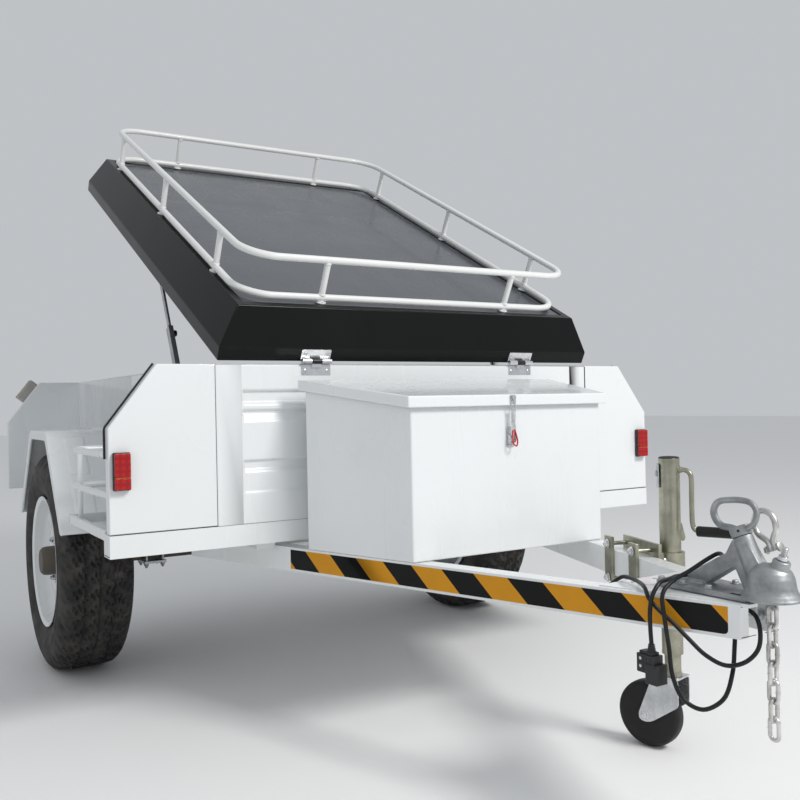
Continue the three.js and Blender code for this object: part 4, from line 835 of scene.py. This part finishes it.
# ---------- stays ----------
for name, s in SIDES.items():
    refine(f"stay_channel_{name}", GALV, f"stay_{name}", bevel=0.0008)
    refine(f"stay_bar_{name}", GALV, f"stay_bar_{name}", bevel=0.0008)
    stay = at(STAY_FOOT[0], s * 566, STAY_FOOT[1]) @ Matrix.Rotation(STAY_ANGLE, 4, "Y") @ MM
    knob = Shape().lathe([(0, 4), (5, 4), (5, 8), (9, 9), (9.4, 14), (8, 17), (0, 17.4)], (0, 0, 350),
                         (0, -s, 0), 24)
    knob.make(f"stay_knob_{name}", PLASTIC, f"stay_{name}", stay)

# ---------- toolbox ----------
BX0, BX1, BH0, BH1, BZ0, BZ1 = 66, 390, 392, 285, 850, 806


def box_outline(t):
    return [(BX0 + t, -BH0 + t), (BX1 - t, -BH1 + t), (BX1 - t, BH1 - t), (BX0 + t, BH0 - t)]


def box_top(x, lift=0.0):
    return BZ0 + (BZ1 - BZ0) * (x - BX0) / (BX1 - BX0) + lift


box = Shape()
loops(box, [[(x, y, box_top(x, 12)) for x, y in box_outline(0)],
            [(x, y, 455.6) for x, y in box_outline(0)]])
sheet_object(box, "toolbox_shell", WHITE, node="toolbox", bevel=0.0035, angle=30)
cover = Shape()
loops(cover, [[(x, y, box_top(x, lift)) for x, y in box_outline(t)]
              for t, lift in ((-9, 0.5), (-14, 0.5), (-14, 27))])
sheet_object(cover, "toolbox_lid_sheet", WHITE, "toolbox_lid", "toolbox_lid", wall=0.0016, angle=30)
edge_seal = Shape()
seal_line = fillet([(x, y, box_top(x, 14)) for x, y in box_outline(1)], 6, closed=True)
edge_seal.tube(seal_line, 2.8, 10, closed=True)
edge_seal.make("toolbox_seal", SEAL)
hinge_line = Shape()
for y in (-250, 0, 250):
    hinge_line.lathe([(0, -35), (5, -35), (5, 35), (0, 35)], (57, y, 851), (0, 1, 0), 24)
    hinge_line.box(57, 66, y - 33, y + 33, 846, 848)
hinge_line.make("toolbox_hinges", BRIGHT)

# ---------- toolbox latch ----------
LY, LZ, LX = -6, 806, 390
base = Shape()
base.prism([(LY - 11, LZ - 99), (LY - 9, LZ - 101), (LY + 9, LZ - 101), (LY + 11, LZ - 99),
            (LY + 11, LZ - 54),
            (LY + 9, LZ - 52), (LY - 9, LZ - 52), (LY - 11, LZ - 54)], "x", LX + 0.3, LX + 2.3)
for e in (-1, 1):
    base.prism([(LX + 2, LZ - 94), (LX + 13, LZ - 90), (LX + 16, LZ - 82), (LX + 14, LZ - 74),
                (LX + 2, LZ - 68)],
               "y", LY + e * 8 - 0.9, LY + e * 8 + 0.9)
    for z in (LZ - 97, LZ - 57):
        base.lathe([(0, 0), (2.6, 0), (2.3, 1), (0, 1.5)], (LX + 2.3, LY + e * 4.5, z), X_AXIS, 14)
base.rod(1.9, (LX + 11.3, LY - 9.6, LZ - 81), (LX + 11.3, LY + 9.6, LZ - 81), 16)
base.make("latch_base", BRIGHT, node="toolbox_latch_base", bevel=0.0005)
lever = Shape()
lever.prism([(LX + 8.5, LZ - 86), (LX + 14, LZ - 86), (LX + 16.6, LZ - 70), (LX + 17.4, LZ - 50),
             (LX + 15, LZ - 47),
             (LX + 13, LZ - 52), (LX + 12, LZ - 68)], "y", LY - 6.2, LY + 6.2)
for e in (-1, 1):
    lever.rod(1.3, (LX + 13.4, LY + e * 5, LZ - 62), (LX + 15.8, LY + e * 5.4, LZ - 14), 12)
lever.tube(catmull([(LX + 15.8, LY - 5.4, LZ - 14), (LX + 16.4, LY - 5, LZ + 6), (LX + 17, LY, LZ + 13),
                    (LX + 16.4, LY + 5, LZ + 6), (LX + 15.8, LY + 5.4, LZ - 14)], 6), 1.3, 12)
for k in range(8):                                                # draw spring on the bail
    z = LZ - 44 + k * 3.4
    lever.lathe([(1.9, z), (3.0, z + 1.1), (1.9, z + 2.2)], (LX + 14.6, LY, 0), sides=18)
lever.rod(1.9, (LX + 14.6, LY, LZ - 50), (LX + 14.8, LY, LZ - 10), 14)
lever.box(LX + 13, LX + 16.4, LY - 6.4, LY + 6.4, LZ - 14, LZ - 9)
lever.make("latch_lever", BRIGHT, "toolbox_latch", node="toolbox_latch_lever", bevel=0.0004)
grip = Shape()
grip.tube(catmull([(LX + 16.4, LY - 3, LZ - 60), (LX + 19.6, LY - 6, LZ - 76),
                   (LX + 20.8, LY - 5, LZ - 92),
                   (LX + 20.8, LY + 4, LZ - 98), (LX + 20, LY + 8, LZ - 88),
                   (LX + 19.2, LY + 5, LZ - 72),
                   (LX + 16.8, LY + 2, LZ - 58)], 8), 1.9, 12)
grip.make("latch_red_loop", RED_GRIP, "toolbox_latch")
catch = Shape()
catch.prism([(LY - 9, LZ + 3), (LY + 9, LZ + 3), (LY + 9, LZ + 22), (LY + 7, LZ + 24),
             (LY - 7, LZ + 24),
             (LY - 9, LZ + 22)], "x", LX + 14.1, LX + 15.6)
catch.prism([(LX + 15, LZ + 14), (LX + 22, LZ + 14), (LX + 22.4, LZ + 22), (LX + 21, LZ + 22),
             (LX + 20.4, LZ + 15.6),
             (LX + 15, LZ + 15.6)], "y", LY - 4.6, LY + 4.6)
catch.make("latch_catch", BRIGHT, "toolbox_lid", bevel=0.0004)

# ---------- chassis ----------
refine("chassis", WHITE, bevel=0.0022, angle=60)
cos_r, sin_r = math.cos(RAIL_ANGLE), math.sin(RAIL_ANGLE)


def on_rail(x, z, out):
    """A point at a distance out from the right rail's outer face."""
    return (x + out * sin_r, -(rail_outer(x) + out * cos_r), z)


tape = Shape()
T_LOW, T_HIGH, T_START, T_END = 401, 449.4, 1, 1060
pitch, lean = 81.6, 47.0
PEEL = 0.35


def tape_patch(xa, xb, tint):
    """One stripe between two slanted edges, clipped to the tape's two ends, with a slim thickness."""
    def cut(x0, x1):
        poly = [(x0, T_HIGH), (x1, T_HIGH), (x1 + lean, T_LOW), (x0 + lean, T_LOW)]
        for sign, limit in ((1, T_START), (-1, T_END)):
            out = []
            for (xa_, za_), (xb_, zb_) in zip(poly, poly[1:] + poly[:1]):
                ina, inb = sign * (xa_ - limit) >= 0, sign * (xb_ - limit) >= 0
                if ina:
                    out.append((xa_, za_))
                if ina != inb:
                    t = (limit - xa_) / (xb_ - xa_)
                    out.append((limit, za_ + t * (zb_ - za_)))
            poly = out
            if not poly:
                return []
        return poly
    poly = cut(xa, xb)
    if len(poly) < 3:
        return
    corner = [q for q in poly if q[0] > T_END - 0.1 and q[1] < T_LOW + 0.1]
    if corner:                                                   # the last end's rounded corner
        i = poly.index(corner[0])
        a, b = poly[i - 1], poly[(i + 1) % len(poly)]
        pts = fillet([(*a, 0), (*corner[0], 0), (*b, 0)], 9, 6)[1:-1]
        poly = poly[:i] + [(q.x, q.y) for q in pts] + poly[i + 1:]
    n = len(poly)
    verts = [on_rail(x, z, o) for o in (0.05, PEEL) for x, z in poly]
    faces = [list(range(n))[::-1], list(range(n, 2 * n))]
    faces += [(i, (i + 1) % n, n + (i + 1) % n, n + i) for i in range(n)]
    tape.add(verts, faces, tint)


start = 52.7 - 2 * pitch
for i in range(16):
    tape_patch(start + i * pitch, start + (i + 1) * pitch, (i + 1) % 2)
tape.make("hazard_tape", (TAPE_BLACK, TAPE_AMBER), weld=1e-6)

ironwork = Shape()
for x, y in ((892, -44), (892, 44), (1000, -40), (1000, 40), (945, -46), (945, 46)):
    ironwork.bolt((x, y * 0.92, 469.4), (0, 0, 1), 6.5, 5)
for x in (836, 868):
    for y in (-60, 0, 60):
        ironwork.lathe([(0, 0), (5, 0), (4.2, 0.7), (0, 0.9)], (x, y, 457), sides=6)
ironwork.bolt((TIP_X - 20, -30.6, 424), (0, 1, 0), 8, 6, stub=5)
ironwork.bolt((TIP_X - 20, 30.6, 424), (0, -1, 0), 8, 6)
ironwork.make("drawbar_bolts", GALV, bevel=0.0005, angle=50)
seams = Shape()
for s in (-1, 1):
    skew = RAIL_WALL / cos_r
    for z0, z1 in ((395, 396.2), (448, 449.2)):
        seams.box(TIP_X + 0.05, TIP_X + 0.5, s * (TIP_Y - 3), s * (TIP_Y - skew + 3), z0 + 2, z1 + 2)
    seams.box(-52, -3, s * 859.05, s * 859.35, 474, 476)
seams.make("rail_cap_seams", SHADOW)

# ---------- tailgate ----------
refine("tailgate", WHITE, "tailgate", bevel=0.0016)
ribs = Shape()
for z0, z1 in ((580, 640), (690, 750), (800, 860)):
    ribs.prism([(REAR - 18.3, z0), (REAR - 23.5, z0 + 8), (REAR - 23.5, z1 - 8), (REAR - 18.3, z1)],
               "y", -430, 430)
ribs.make("tailgate_ribs", WHITE, "tailgate", bevel=0.002, angle=15)
for name, s in SIDES.items():
    refine(f"tailgate_hinge_{name}", GALV, bevel=0.0008)
    refine(f"tailgate_latch_{name}", BRIGHT, f"tailgate_latch_{name}", bevel=0.001)

# ---------- axle, springs, wheels ----------
SPRING_Y = 505
refine("axle", CHASSIS_BLACK, "axle", bevel=0.002)
for name, s in SIDES.items():
    refine(f"leaf_spring_{name}", CHASSIS_BLACK, bevel=0.0006)
    clips = Shape()
    for dx in (-34, 34):
        line = [(AXLE_X + dx, s * SPRING_Y - 27, 330), (AXLE_X + dx, s * SPRING_Y - 27, 398),
                (AXLE_X + dx, s * SPRING_Y + 27, 398), (AXLE_X + dx, s * SPRING_Y + 27, 330)]
        clips.tube(fillet(line, 14), 5, 14)
    clips.box(AXLE_X - 48, AXLE_X + 48, s * SPRING_Y - 36, s * SPRING_Y + 36, 303, 311)
    for dx in (-34, 34):
        for dy in (-27, 27):
            clips.bolt((AXLE_X + dx, s * SPRING_Y + dy, 303), (0, 0, -1), 8, 7, stub=8)
            clips.rod(5, (AXLE_X + dx, s * SPRING_Y + dy, 300),
                      (AXLE_X + dx, s * SPRING_Y + dy, 332), 14)
    clips.make(f"spring_clips_{name}", GALV, "axle", bevel=0.0008, angle=50)

R_RIM = 195
hw = 218 / 2                         # half the tyre's width
BLOCKS = 44


def tyre_profile():
    side = [(196, -83), (206, -92), (225, -100.5), (240, -104.5), (258, -108.8), (270, -108.2),
            (273, -106.6),
            (280, -106.2), (284, -107.2), (300, -103.8), (312, -99), (322, -93.5), (330, -86)]
    tread = [(334.5, -80), (337, -72)] + [(337 + 3 * (1 - (z / 72) ** 2), z) for z in range(-66, 67, 6)]
    tread += [(337, 72), (334.5, 80)]
    back = [(r, -z) for r, z in side[::-1]]
    inner = [(196, 68), (312, 66), (313, 0), (312, -66), (196, -68)]
    return side + tread + back + inner, len(side), len(side) + len(tread)


profile, t0, t1 = tyre_profile()
around = BLOCKS * 8


def tread(a, i, r, z):
    if r < 300 or not (t0 - 3 <= i < t1 + 3) or abs(z) > 99:
        return r
    phase = a / (2 * math.pi) * BLOCKS
    zig = 0.22 * (1 if (round(abs(z)) // 6) % 2 else -1) + (0.25 if z > 0 else -0.25)
    across = (phase + zig * 0.6 + abs(z) / 60) % 1.0
    deep = 7.5
    if across < 0.25:
        return r - deep
    for groove in (-39, 0, 39):
        if abs(z - groove + 3 * math.sin(2 * math.pi * phase)) < 3.4:
            return r - deep
    return r


for name, s in SIDES.items():
    spin = at(AXLE_X, s * TRACK, AXLE_Z) @ Matrix.Rotation(-s * math.pi / 2, 4, "X") @ MM
    tyre = Shape().lathe(profile, sides=around, wobble=tread)
    tyre.make(f"tyre_{name}_tread", TYRE, f"wheel_{name}", spin, node=f"tyre_{name}", angle=38)
    rim = Shape()
    r = R_RIM
    dish = [(r + 8, -hw + 9.4), (r + 9, -hw + 11), (r + 7, -hw + 13), (r - 1, -hw + 17),
            (r - 1.5, hw - 17),
            (r + 7, hw - 13), (r + 9, hw - 11), (r + 8, hw - 9.4), (r + 3, hw - 10.5), (r - 5, hw - 14),
            (r - 6, hw - 38), (r - 12, hw - 48), (r - 26, hw - 56), (160, hw - 60), (148, hw - 60),
            (130, hw - 52),
            (112, hw - 45), (100, hw - 46), (88, hw - 52), (60, hw - 52.5), (50, hw - 52.5),
            (46, hw - 50),
            (46, hw - 59.5), (88, hw - 59), (112, hw - 52), (150, hw - 68), (r - 10, hw - 54),
            (r - 9, -hw + 14)]
    rim.lathe(dish, sides=72)
    rim.make(f"rim_{name}_disc", WHITE, f"wheel_{name}", spin, node=f"rim_{name}",
             slot="rim_paint", angle=50)
    fittings = Shape()
    for k in range(6):
        a = math.radians(60 * k)
        fittings.bolt((70 * math.cos(a), 70 * math.sin(a), hw - 52.5), (0, 0, 1), 10, 12, stub=7)
    fittings.make(f"wheel_nuts_{name}", BRIGHT, f"wheel_{name}", spin, bevel=0.001, angle=50)
    # dark discs: painted shade inside the rim's vent holes
    slots = Shape()
    for k in range(12):
        a = math.radians(30 * k + 15)
        m = Matrix.Rotation(a, 4, "Z")
        slots.lathe([(0, 0), (9, 0), (9, 0.5), (0, 0.5)], (139, 0, hw - 56.4), (0.35, 0, 1),
                    20, matrix=m)
    slots.make(f"rim_vent_shade_{name}", SHADOW, f"wheel_{name}", spin, slot="axle_black")
    hub = Shape().lathe([(0, hw - 122), (62, hw - 122), (64, hw - 118), (64, hw - 70), (90, hw - 68.4),
                         (90, hw - 60.4), (45.4, hw - 60.4), (45, hw - 20), (43, hw - 8),
                         (36, hw - 1), (20, hw - 0.5),
                         (0, hw - 0.4)], sides=48)
    hub.make(f"hub_{name}_cap", CHASSIS_BLACK, f"wheel_{name}", spin, node=f"hub_{name}", angle=40)

# ---------- lamps ----------
for name, s in SIDES.items():
    y = s * 831
    housing = Shape().box(0.3, 12, y - 20, y + 20, 627, 715)
    housing.make(f"marker_base_{name}", PLASTIC, node=f"marker_lamp_{name}", bevel=0.003,
                 segments=3)
    glass = Shape()
    glass.box(8, 21.6, y - 18.2, y + 18.2, 657.6, 713.2)
    glass.box(8, 21.6, y - 18.2, y + 18.2, 628.8, 656.6)
    glass.make(f"marker_lens_{name}", RED, bevel=0.0028, segments=4)
    split = Shape().box(9, 20.6, y - 17.6, y + 17.6, 656.4, 657.8)
    split.make(f"marker_split_{name}", AMBER_LENS)
    tilt = -s * math.atan2(*WING_CUT)
    seat = at(REAR - 20.3, s * 771.5, 879.5) @ Matrix.Rotation(tilt, 4, "X") @ MM
    back = Shape().box(-2, 20, -43, 43, -16, 34)
    back.make(f"tail_base_{name}", HOUSING, place=seat, node=f"tail_lamp_{name}", bevel=0.009,
              segments=4)
    for i, (a, b, mat) in enumerate(((-41.5, -14.5, RED), (-13.8, 13.8, AMBER_LENS),
                                     (14.5, 41.5, RED))):
        part = Shape().box(-20, 0, a, b, -14.5, 32.5)
        part.make(f"tail_lens_{name}_{i}", mat, place=seat, bevel=0.004, segments=4)

# ---------- coupling ----------
CX, CZ, TILT = 1105, 457.5, math.radians(25)
plunger = Vector((-math.sin(TILT), 0, math.cos(TILT)))


def on_plunger(d, x=0.0, y=0.0):
    side = Vector((math.cos(TILT), 0, math.sin(TILT)))
    return Vector((1047, 0, 565)) + plunger * d + side * x + Vector((0, y, 0))


body = Shape()
flange = [(880, -40), (884, -46), (900, -51), (1085, -44), (1085, 44), (900, 51), (884, 46), (880, 40)]
body.prism(flange, "z", CZ + 0.3, CZ + 11.5)
body.lathe([(27, 4.3), (45, 4.3), (52.6, 6), (53.4, 9), (51, 11.6), (44.5, 17), (41.5, 24),
            (38.5, 43), (34, 54),
            (26, 62), (14, 66.6), (0, 67.8), (0, 47), (17, 41), (24, 32), (27, 20)], (CX, 0, CZ),
           sides=72)
web = [(927, CZ + 9), (966, CZ + 9), (982, CZ + 18), (1032, CZ + 50), (1040, CZ + 48), (1056, CZ + 15),
       (1096, CZ + 15), (1099, CZ + 50), (1062, CZ + 104), (1032, CZ + 100), (1018, CZ + 75),
       (931, CZ + 27)]
body.prism(web, "y", -12.5, 12.5)
body.prism([(925, CZ + 9), (978, CZ + 9), (970, CZ + 15), (930, CZ + 16)], "y", -18, 18)
tube = [on_plunger(d) for d in (-88, 0)]
body.tube(tube, lambda t: 19.2 - 1.6 * t, 40)
body.lathe([(0, 0), (15.5, 0), (15.5, 34), (13.8, 37.5), (0, 37.5)], (CX + 10, 0, CZ + 40),
           (12, 0, 36), 36)
body.make("coupling_casting", CAST, node="coupling_body", remesh=0.0016, smoothing=5)
# dark plates: painted shade inside the flange's mounting slots
slots = Shape()
for x, y in ((915, -42), (1062, -40), (915, 42), (1062, 40)):
    slots.box(x - 11, x + 11, y - 3.4, y + 3.4, CZ + 11.4, CZ + 12)
slots.make("coupling_slot_shade", SHADOW, bevel=0.0003)

handle = Shape()
loop = [(1022, 578), (1000, 580.5), (989, 590), (984.5, 603), (988, 615), (998, 623.5),
        (1016, 627.5), (1048, 629.5),
        (1066, 626), (1075.5, 616), (1077, 603), (1070, 589), (1058, 581)]
handle.tube(catmull([(x, 0, z) for x, z in loop], 6), 6.6, 24, flat=0.8)
for q in (loop[0], loop[-1]):
    handle.tube([on_plunger(10), Vector((q[0], 0, q[1]))], 6.6, 20)
collar = [on_plunger(d) for d in (0.4, 2, 16, 18)]
handle.tube(collar, lambda t: 18.8 if 0.2 < t < 0.8 else 17.6, 40)
handle.tube([on_plunger(-70), on_plunger(3)], 8, 24)
handle.make("coupling_ring", CAST, "coupling_handle", node="coupling_handle", slot="bright_zinc",
            angle=45)
# a dark disc: painted shade inside the collar's pin hole
pinhole_shade = Shape().lathe([(0, 0), (2.4, 0), (2.4, 0.5), (0, 0.5)], on_plunger(9, 8.5, -16.9),
                        (0.45, -0.9, 0.1), 16)
pinhole_shade.make("collar_pin_hole_shade", SHADOW, "coupling_handle")
aim = Vector((12, 0, 36)).normalized()
foot = Vector((CX + 22, 0, CZ + 76))
adjuster = Shape()
adjuster.lathe([(0, 0.6), (9, 0.6), (9, 7.2), (8, 8.2), (0, 8.2)], foot, aim, 6)
thread = [(0, 6)]
for k in range(10):
    thread += [(5.4, 7.4 + 1.6 * k), (4.7, 8.2 + 1.6 * k)]
thread += [(4.2, 23.2), (0, 23.6)]
adjuster.lathe(thread, foot, aim, 24)
adjuster.make("coupling_adjuster_bolt", BRIGHT, node="coupling_adjuster", angle=50)

# ---------- chain and shackle ----------
PITCH, WIRE, LINK_HALF = 33, 4, 9
chain = Shape()
for k in range(7):
    z = -11.9 - k * PITCH
    half = PITCH / 2 + WIRE - 0.8
    line = []
    for j in range(32):
        a = 2 * math.pi * (j + 0.5) / 32
        across, along = LINK_HALF * math.cos(a), LINK_HALF * math.sin(a)
        along += math.copysign(half - LINK_HALF, math.sin(a))
        line.append((across, 0, z + along) if k % 2 == 0 else (0, across, z + along))
    chain.tube(line, WIRE * 0.97, 14, closed=True)
    side = LINK_HALF * (1 if k % 3 else -1)                          # each link's weld
    spot = (side, 0, z) if k % 2 == 0 else (0, side, z)
    chain.lathe([(3.4, -3), (4.3, -1.6), (4.45, 0), (4.3, 1.6), (3.4, 3)], spot, sides=14)
chain.make("chain_links", CHAIN, "safety_chain", at(TIP_X + 8, 22, 438) @ MM, node="safety_chain",
           angle=60)
bow = [(0, 0), (-2, 14), (-15, 30), (-14, 50), (2, 60), (18, 50), (19, 30), (8, 14), (8, 0)]
shackle = Shape()
shackle.tube(catmull([(x * 1.2, 0, z * 1.2) for x, z in bow], 8), 5.6, 18)
shackle.rod(5, (-8.5, 0, 3), (18.5, 0, 3), 22)
shackle.lathe([(0, 0), (9, 0), (9, 3.6), (7.6, 4.6), (0, 4.6)], (17.2, 0, 3), X_AXIS, 24)
shackle.lathe([(0, 0), (7.5, 0), (7.5, 4), (0, 4)], (-11.5, 0, 3), X_AXIS, 6)
shackle.make("bow_shackle", CHAIN, place=at(1084, 31, 541) @ Matrix.Rotation(-0.35, 4, "Y") @ MM,
             node="safety_shackle", angle=45)

# ---------- jockey wheel ----------
refine("jockey_bracket", ZINC, bevel=0.0005)
refine("jockey_swivel", ZINC, "jockey", bevel=0.0005)
nuts = Shape()
for x in (-108, 14):
    for z in (-37, 44):
        nuts.bolt((x, -51, z), (0, -1, 0), 8, 6, stub=4)
nuts.make("jockey_bracket_nuts", BRIGHT, place=CLAMP, bevel=0.0006, angle=50)
pull = Shape().lathe([(0, 8.6), (5, 8.6), (5, 18.8), (6.4, 19), (6.5, 23), (5.8, 24), (0, 24)],
                     (30, 0, 22),
                     (0, 1, 0), 28)
pull.make("jockey_pin_knob", BRIGHT, "jockey_lock_pin", CLAMP, node="jockey_lock_pin")
outer = Shape().lathe([(21.2, 226), (23.4, 226), (24, 226.8), (24, 675), (23.5, 676), (21.4, 676),
                       (21.2, 675)],
                      sides=64)
outer.lathe([(24, 384), (24.6, 385), (24.6, 391), (24, 392)], sides=64)
fin = [(23.4, 530), (27, 524), (34.5, 494), (33, 487), (28, 484), (23.4, 490)]
outer.prism(fin, "y", -2.4, 2.4, matrix=Matrix.Rotation(math.radians(60), 4, "Z"))
cap = Shape().lathe([(20.6, 672), (23.2, 675.6), (23.4, 677.4), (21.6, 679.4), (17, 680.2),
                     (9, 680.8), (0, 681)],
                    sides=56)
cap.make("jockey_cap", SHADOW, "jockey", TUBE, slot="plug_plastic", angle=40)
outer.make("jockey_sleeve", ZINC, "jockey", TUBE, node="jockey_outer_tube", angle=50)
plate = Shape()
plate.prism([(-12, 612), (-10, 609), (10, 609), (12, 612), (12, 660), (8, 664), (-8, 664),
             (-12, 660)], "x", -27.2,
            -24.4, matrix=Matrix.Rotation(math.radians(52), 4, "Z"))
plate.lathe([(0, 0), (7, 0), (7, 3), (4.6, 4.4), (0, 4.4)], (-27.2, 0, 641), (-1, 0, 0), 26,
            matrix=Matrix.Rotation(math.radians(52), 4, "Z"))
plate.make("jockey_head_plate", GALV, "jockey", TUBE, bevel=0.0007)
crank = Shape()
crank.tube(catmull([(0, 0, 0), (26, 0, 0), (40, 0, -1.5), (48.6, 0, -9), (51, 0, -22), (51, 0, -60),
                    (51, 0, -100),
                    (52, 0, -122), (56, 0, -134), (66, 0, -139), (78, 0, -139)], 5), 5.6, 22)
crank.lathe([(0, 8), (7.4, 8), (7.4, 28), (6.4, 29.5), (0, 29.5)], axis=X_AXIS, sides=28)
CRANK = at(*JOCKEY, 650) @ Matrix.Rotation(math.radians(24), 4, "Z") @ MM
crank.make("jockey_crank_arm", ZINC, "jockey_crank", CRANK, node="jockey_crank",
           slot="bright_zinc", angle=50)
ribs = [(0, 62), (10.4, 62), (11.8, 63.4), (12, 66), (11.8, 112), (12, 156), (11.4, 160.4),
        (9.8, 162), (0, 162)]
hold = Shape().lathe(ribs, (0, 0, -139), X_AXIS, 36)
hold.make("jockey_crank_grip", SOLID, "jockey_crank", CRANK, angle=40)
screw = [(0, 262)]
for k in range(90):
    screw += [(6.0, 264 + 4 * k), (5.2, 266 + 4 * k)]
screw += [(6, 624), (16, 624), (16, 627), (12, 636), (0, 636)]
Shape().lathe(screw, sides=20).make("jockey_screw_rod", GALV, "jockey_screw", TUBE,
                                    node="jockey_screw", angle=60)
inner = Shape().lathe([(0, 176), (18.1, 176), (18.5, 176.6), (18.5, 559.4), (18, 560), (8.2, 560),
                       (8.2, 207),
                       (0, 206)], sides=56)
inner.lathe([(18.4, 176), (20.5, 176), (20.5, 179.6), (19.6, 183), (18.4, 188)], sides=48)
inner.make("jockey_ram", ZINC, "jockey_inner", TUBE, node="jockey_inner_tube", angle=50)

fork = Shape()
side_view = fillet([(26, 172, 0), (26, 112, 0), (-40, 66, 0), (-58, 61, 0), (-74, 66, 0),
                    (-75, 80, 0), (-38, 172, 0)],
                   9, 5, closed=True)
for s in (-1, 1):
    fork.prism([(q.x, q.y) for q in side_view], "y", s * 29, s * 25.2)
fork.box(-38, 26, -29, 29, 172, 175.6)
fork.rod(6, (-59, -33, 77), (-59, 33, 77), 24)
for s in (-1, 1):
    fork.bolt((-59, s * 29, 77), (0, s, 0), 8.5, 5.4)
fork.make("jockey_fork_plates", BRIGHT, "jockey_fork", CASTER, node="jockey_fork", bevel=0.001,
          angle=50)
R = 77
tread_profile = [(6.6, -22), (20, -22), (22, -20), (44, -20), (47, -22), (64, -22), (71, -19.5),
                 (75.2, -14.5),
                 (76.8, -8), (77, 0), (76.8, 8), (75.2, 14.5), (71, 19.5), (64, 22), (47, 22),
                 (44, 20), (22, 20),
                 (20, 22), (6.6, 22)]
Shape().lathe(tread_profile, (-59, 0, R), (0, 1, 0), 80).make(
    "jockey_wheel_solid", SOLID, "jockey_wheel", CASTER, node="jockey_wheel", angle=45)

# ---------- floor, light ----------
bpy.ops.mesh.primitive_plane_add(size=60, location=(0, 0, -0.0005))
ground = bpy.context.object
ground.name = "studio_floor"
pale = bpy.data.materials.new("studio_floor")
pale.use_nodes = True
pale.node_tree.nodes["Principled BSDF"].inputs["Base Color"].default_value = (0.88, 0.88, 0.875, 1)
pale.node_tree.nodes["Principled BSDF"].inputs["Roughness"].default_value = 0.9
ground.data.materials.append(pale)

world = bpy.data.worlds.new("studio")
bpy.context.scene.world = world
world.use_nodes = True
world.node_tree.nodes["Background"].inputs[0].default_value = (0.93, 0.96, 1.0, 1)
world.node_tree.nodes["Background"].inputs[1].default_value = 0.56


def area_light(name, place, aim, size, power, tone):
    data = bpy.data.lights.new(name, "AREA")
    data.shape, data.size, data.energy, data.color = "DISK", size, power, tone
    obj = link(name, data)
    obj.location = place
    obj.rotation_euler = (Vector(aim) - Vector(place)).to_track_quat("-Z", "Y").to_euler()


area_light("key", (4.6, 1.5, 4.4), (0.2, 0, 0.6), 1.6, 208, (1.0, 0.985, 0.96))
area_light("fill", (3.0, -5.0, 2.6), (0, 0, 0.6), 5.0, 12, (0.95, 0.975, 1.0))
scene = bpy.context.scene
scene.view_settings.view_transform = "Standard"
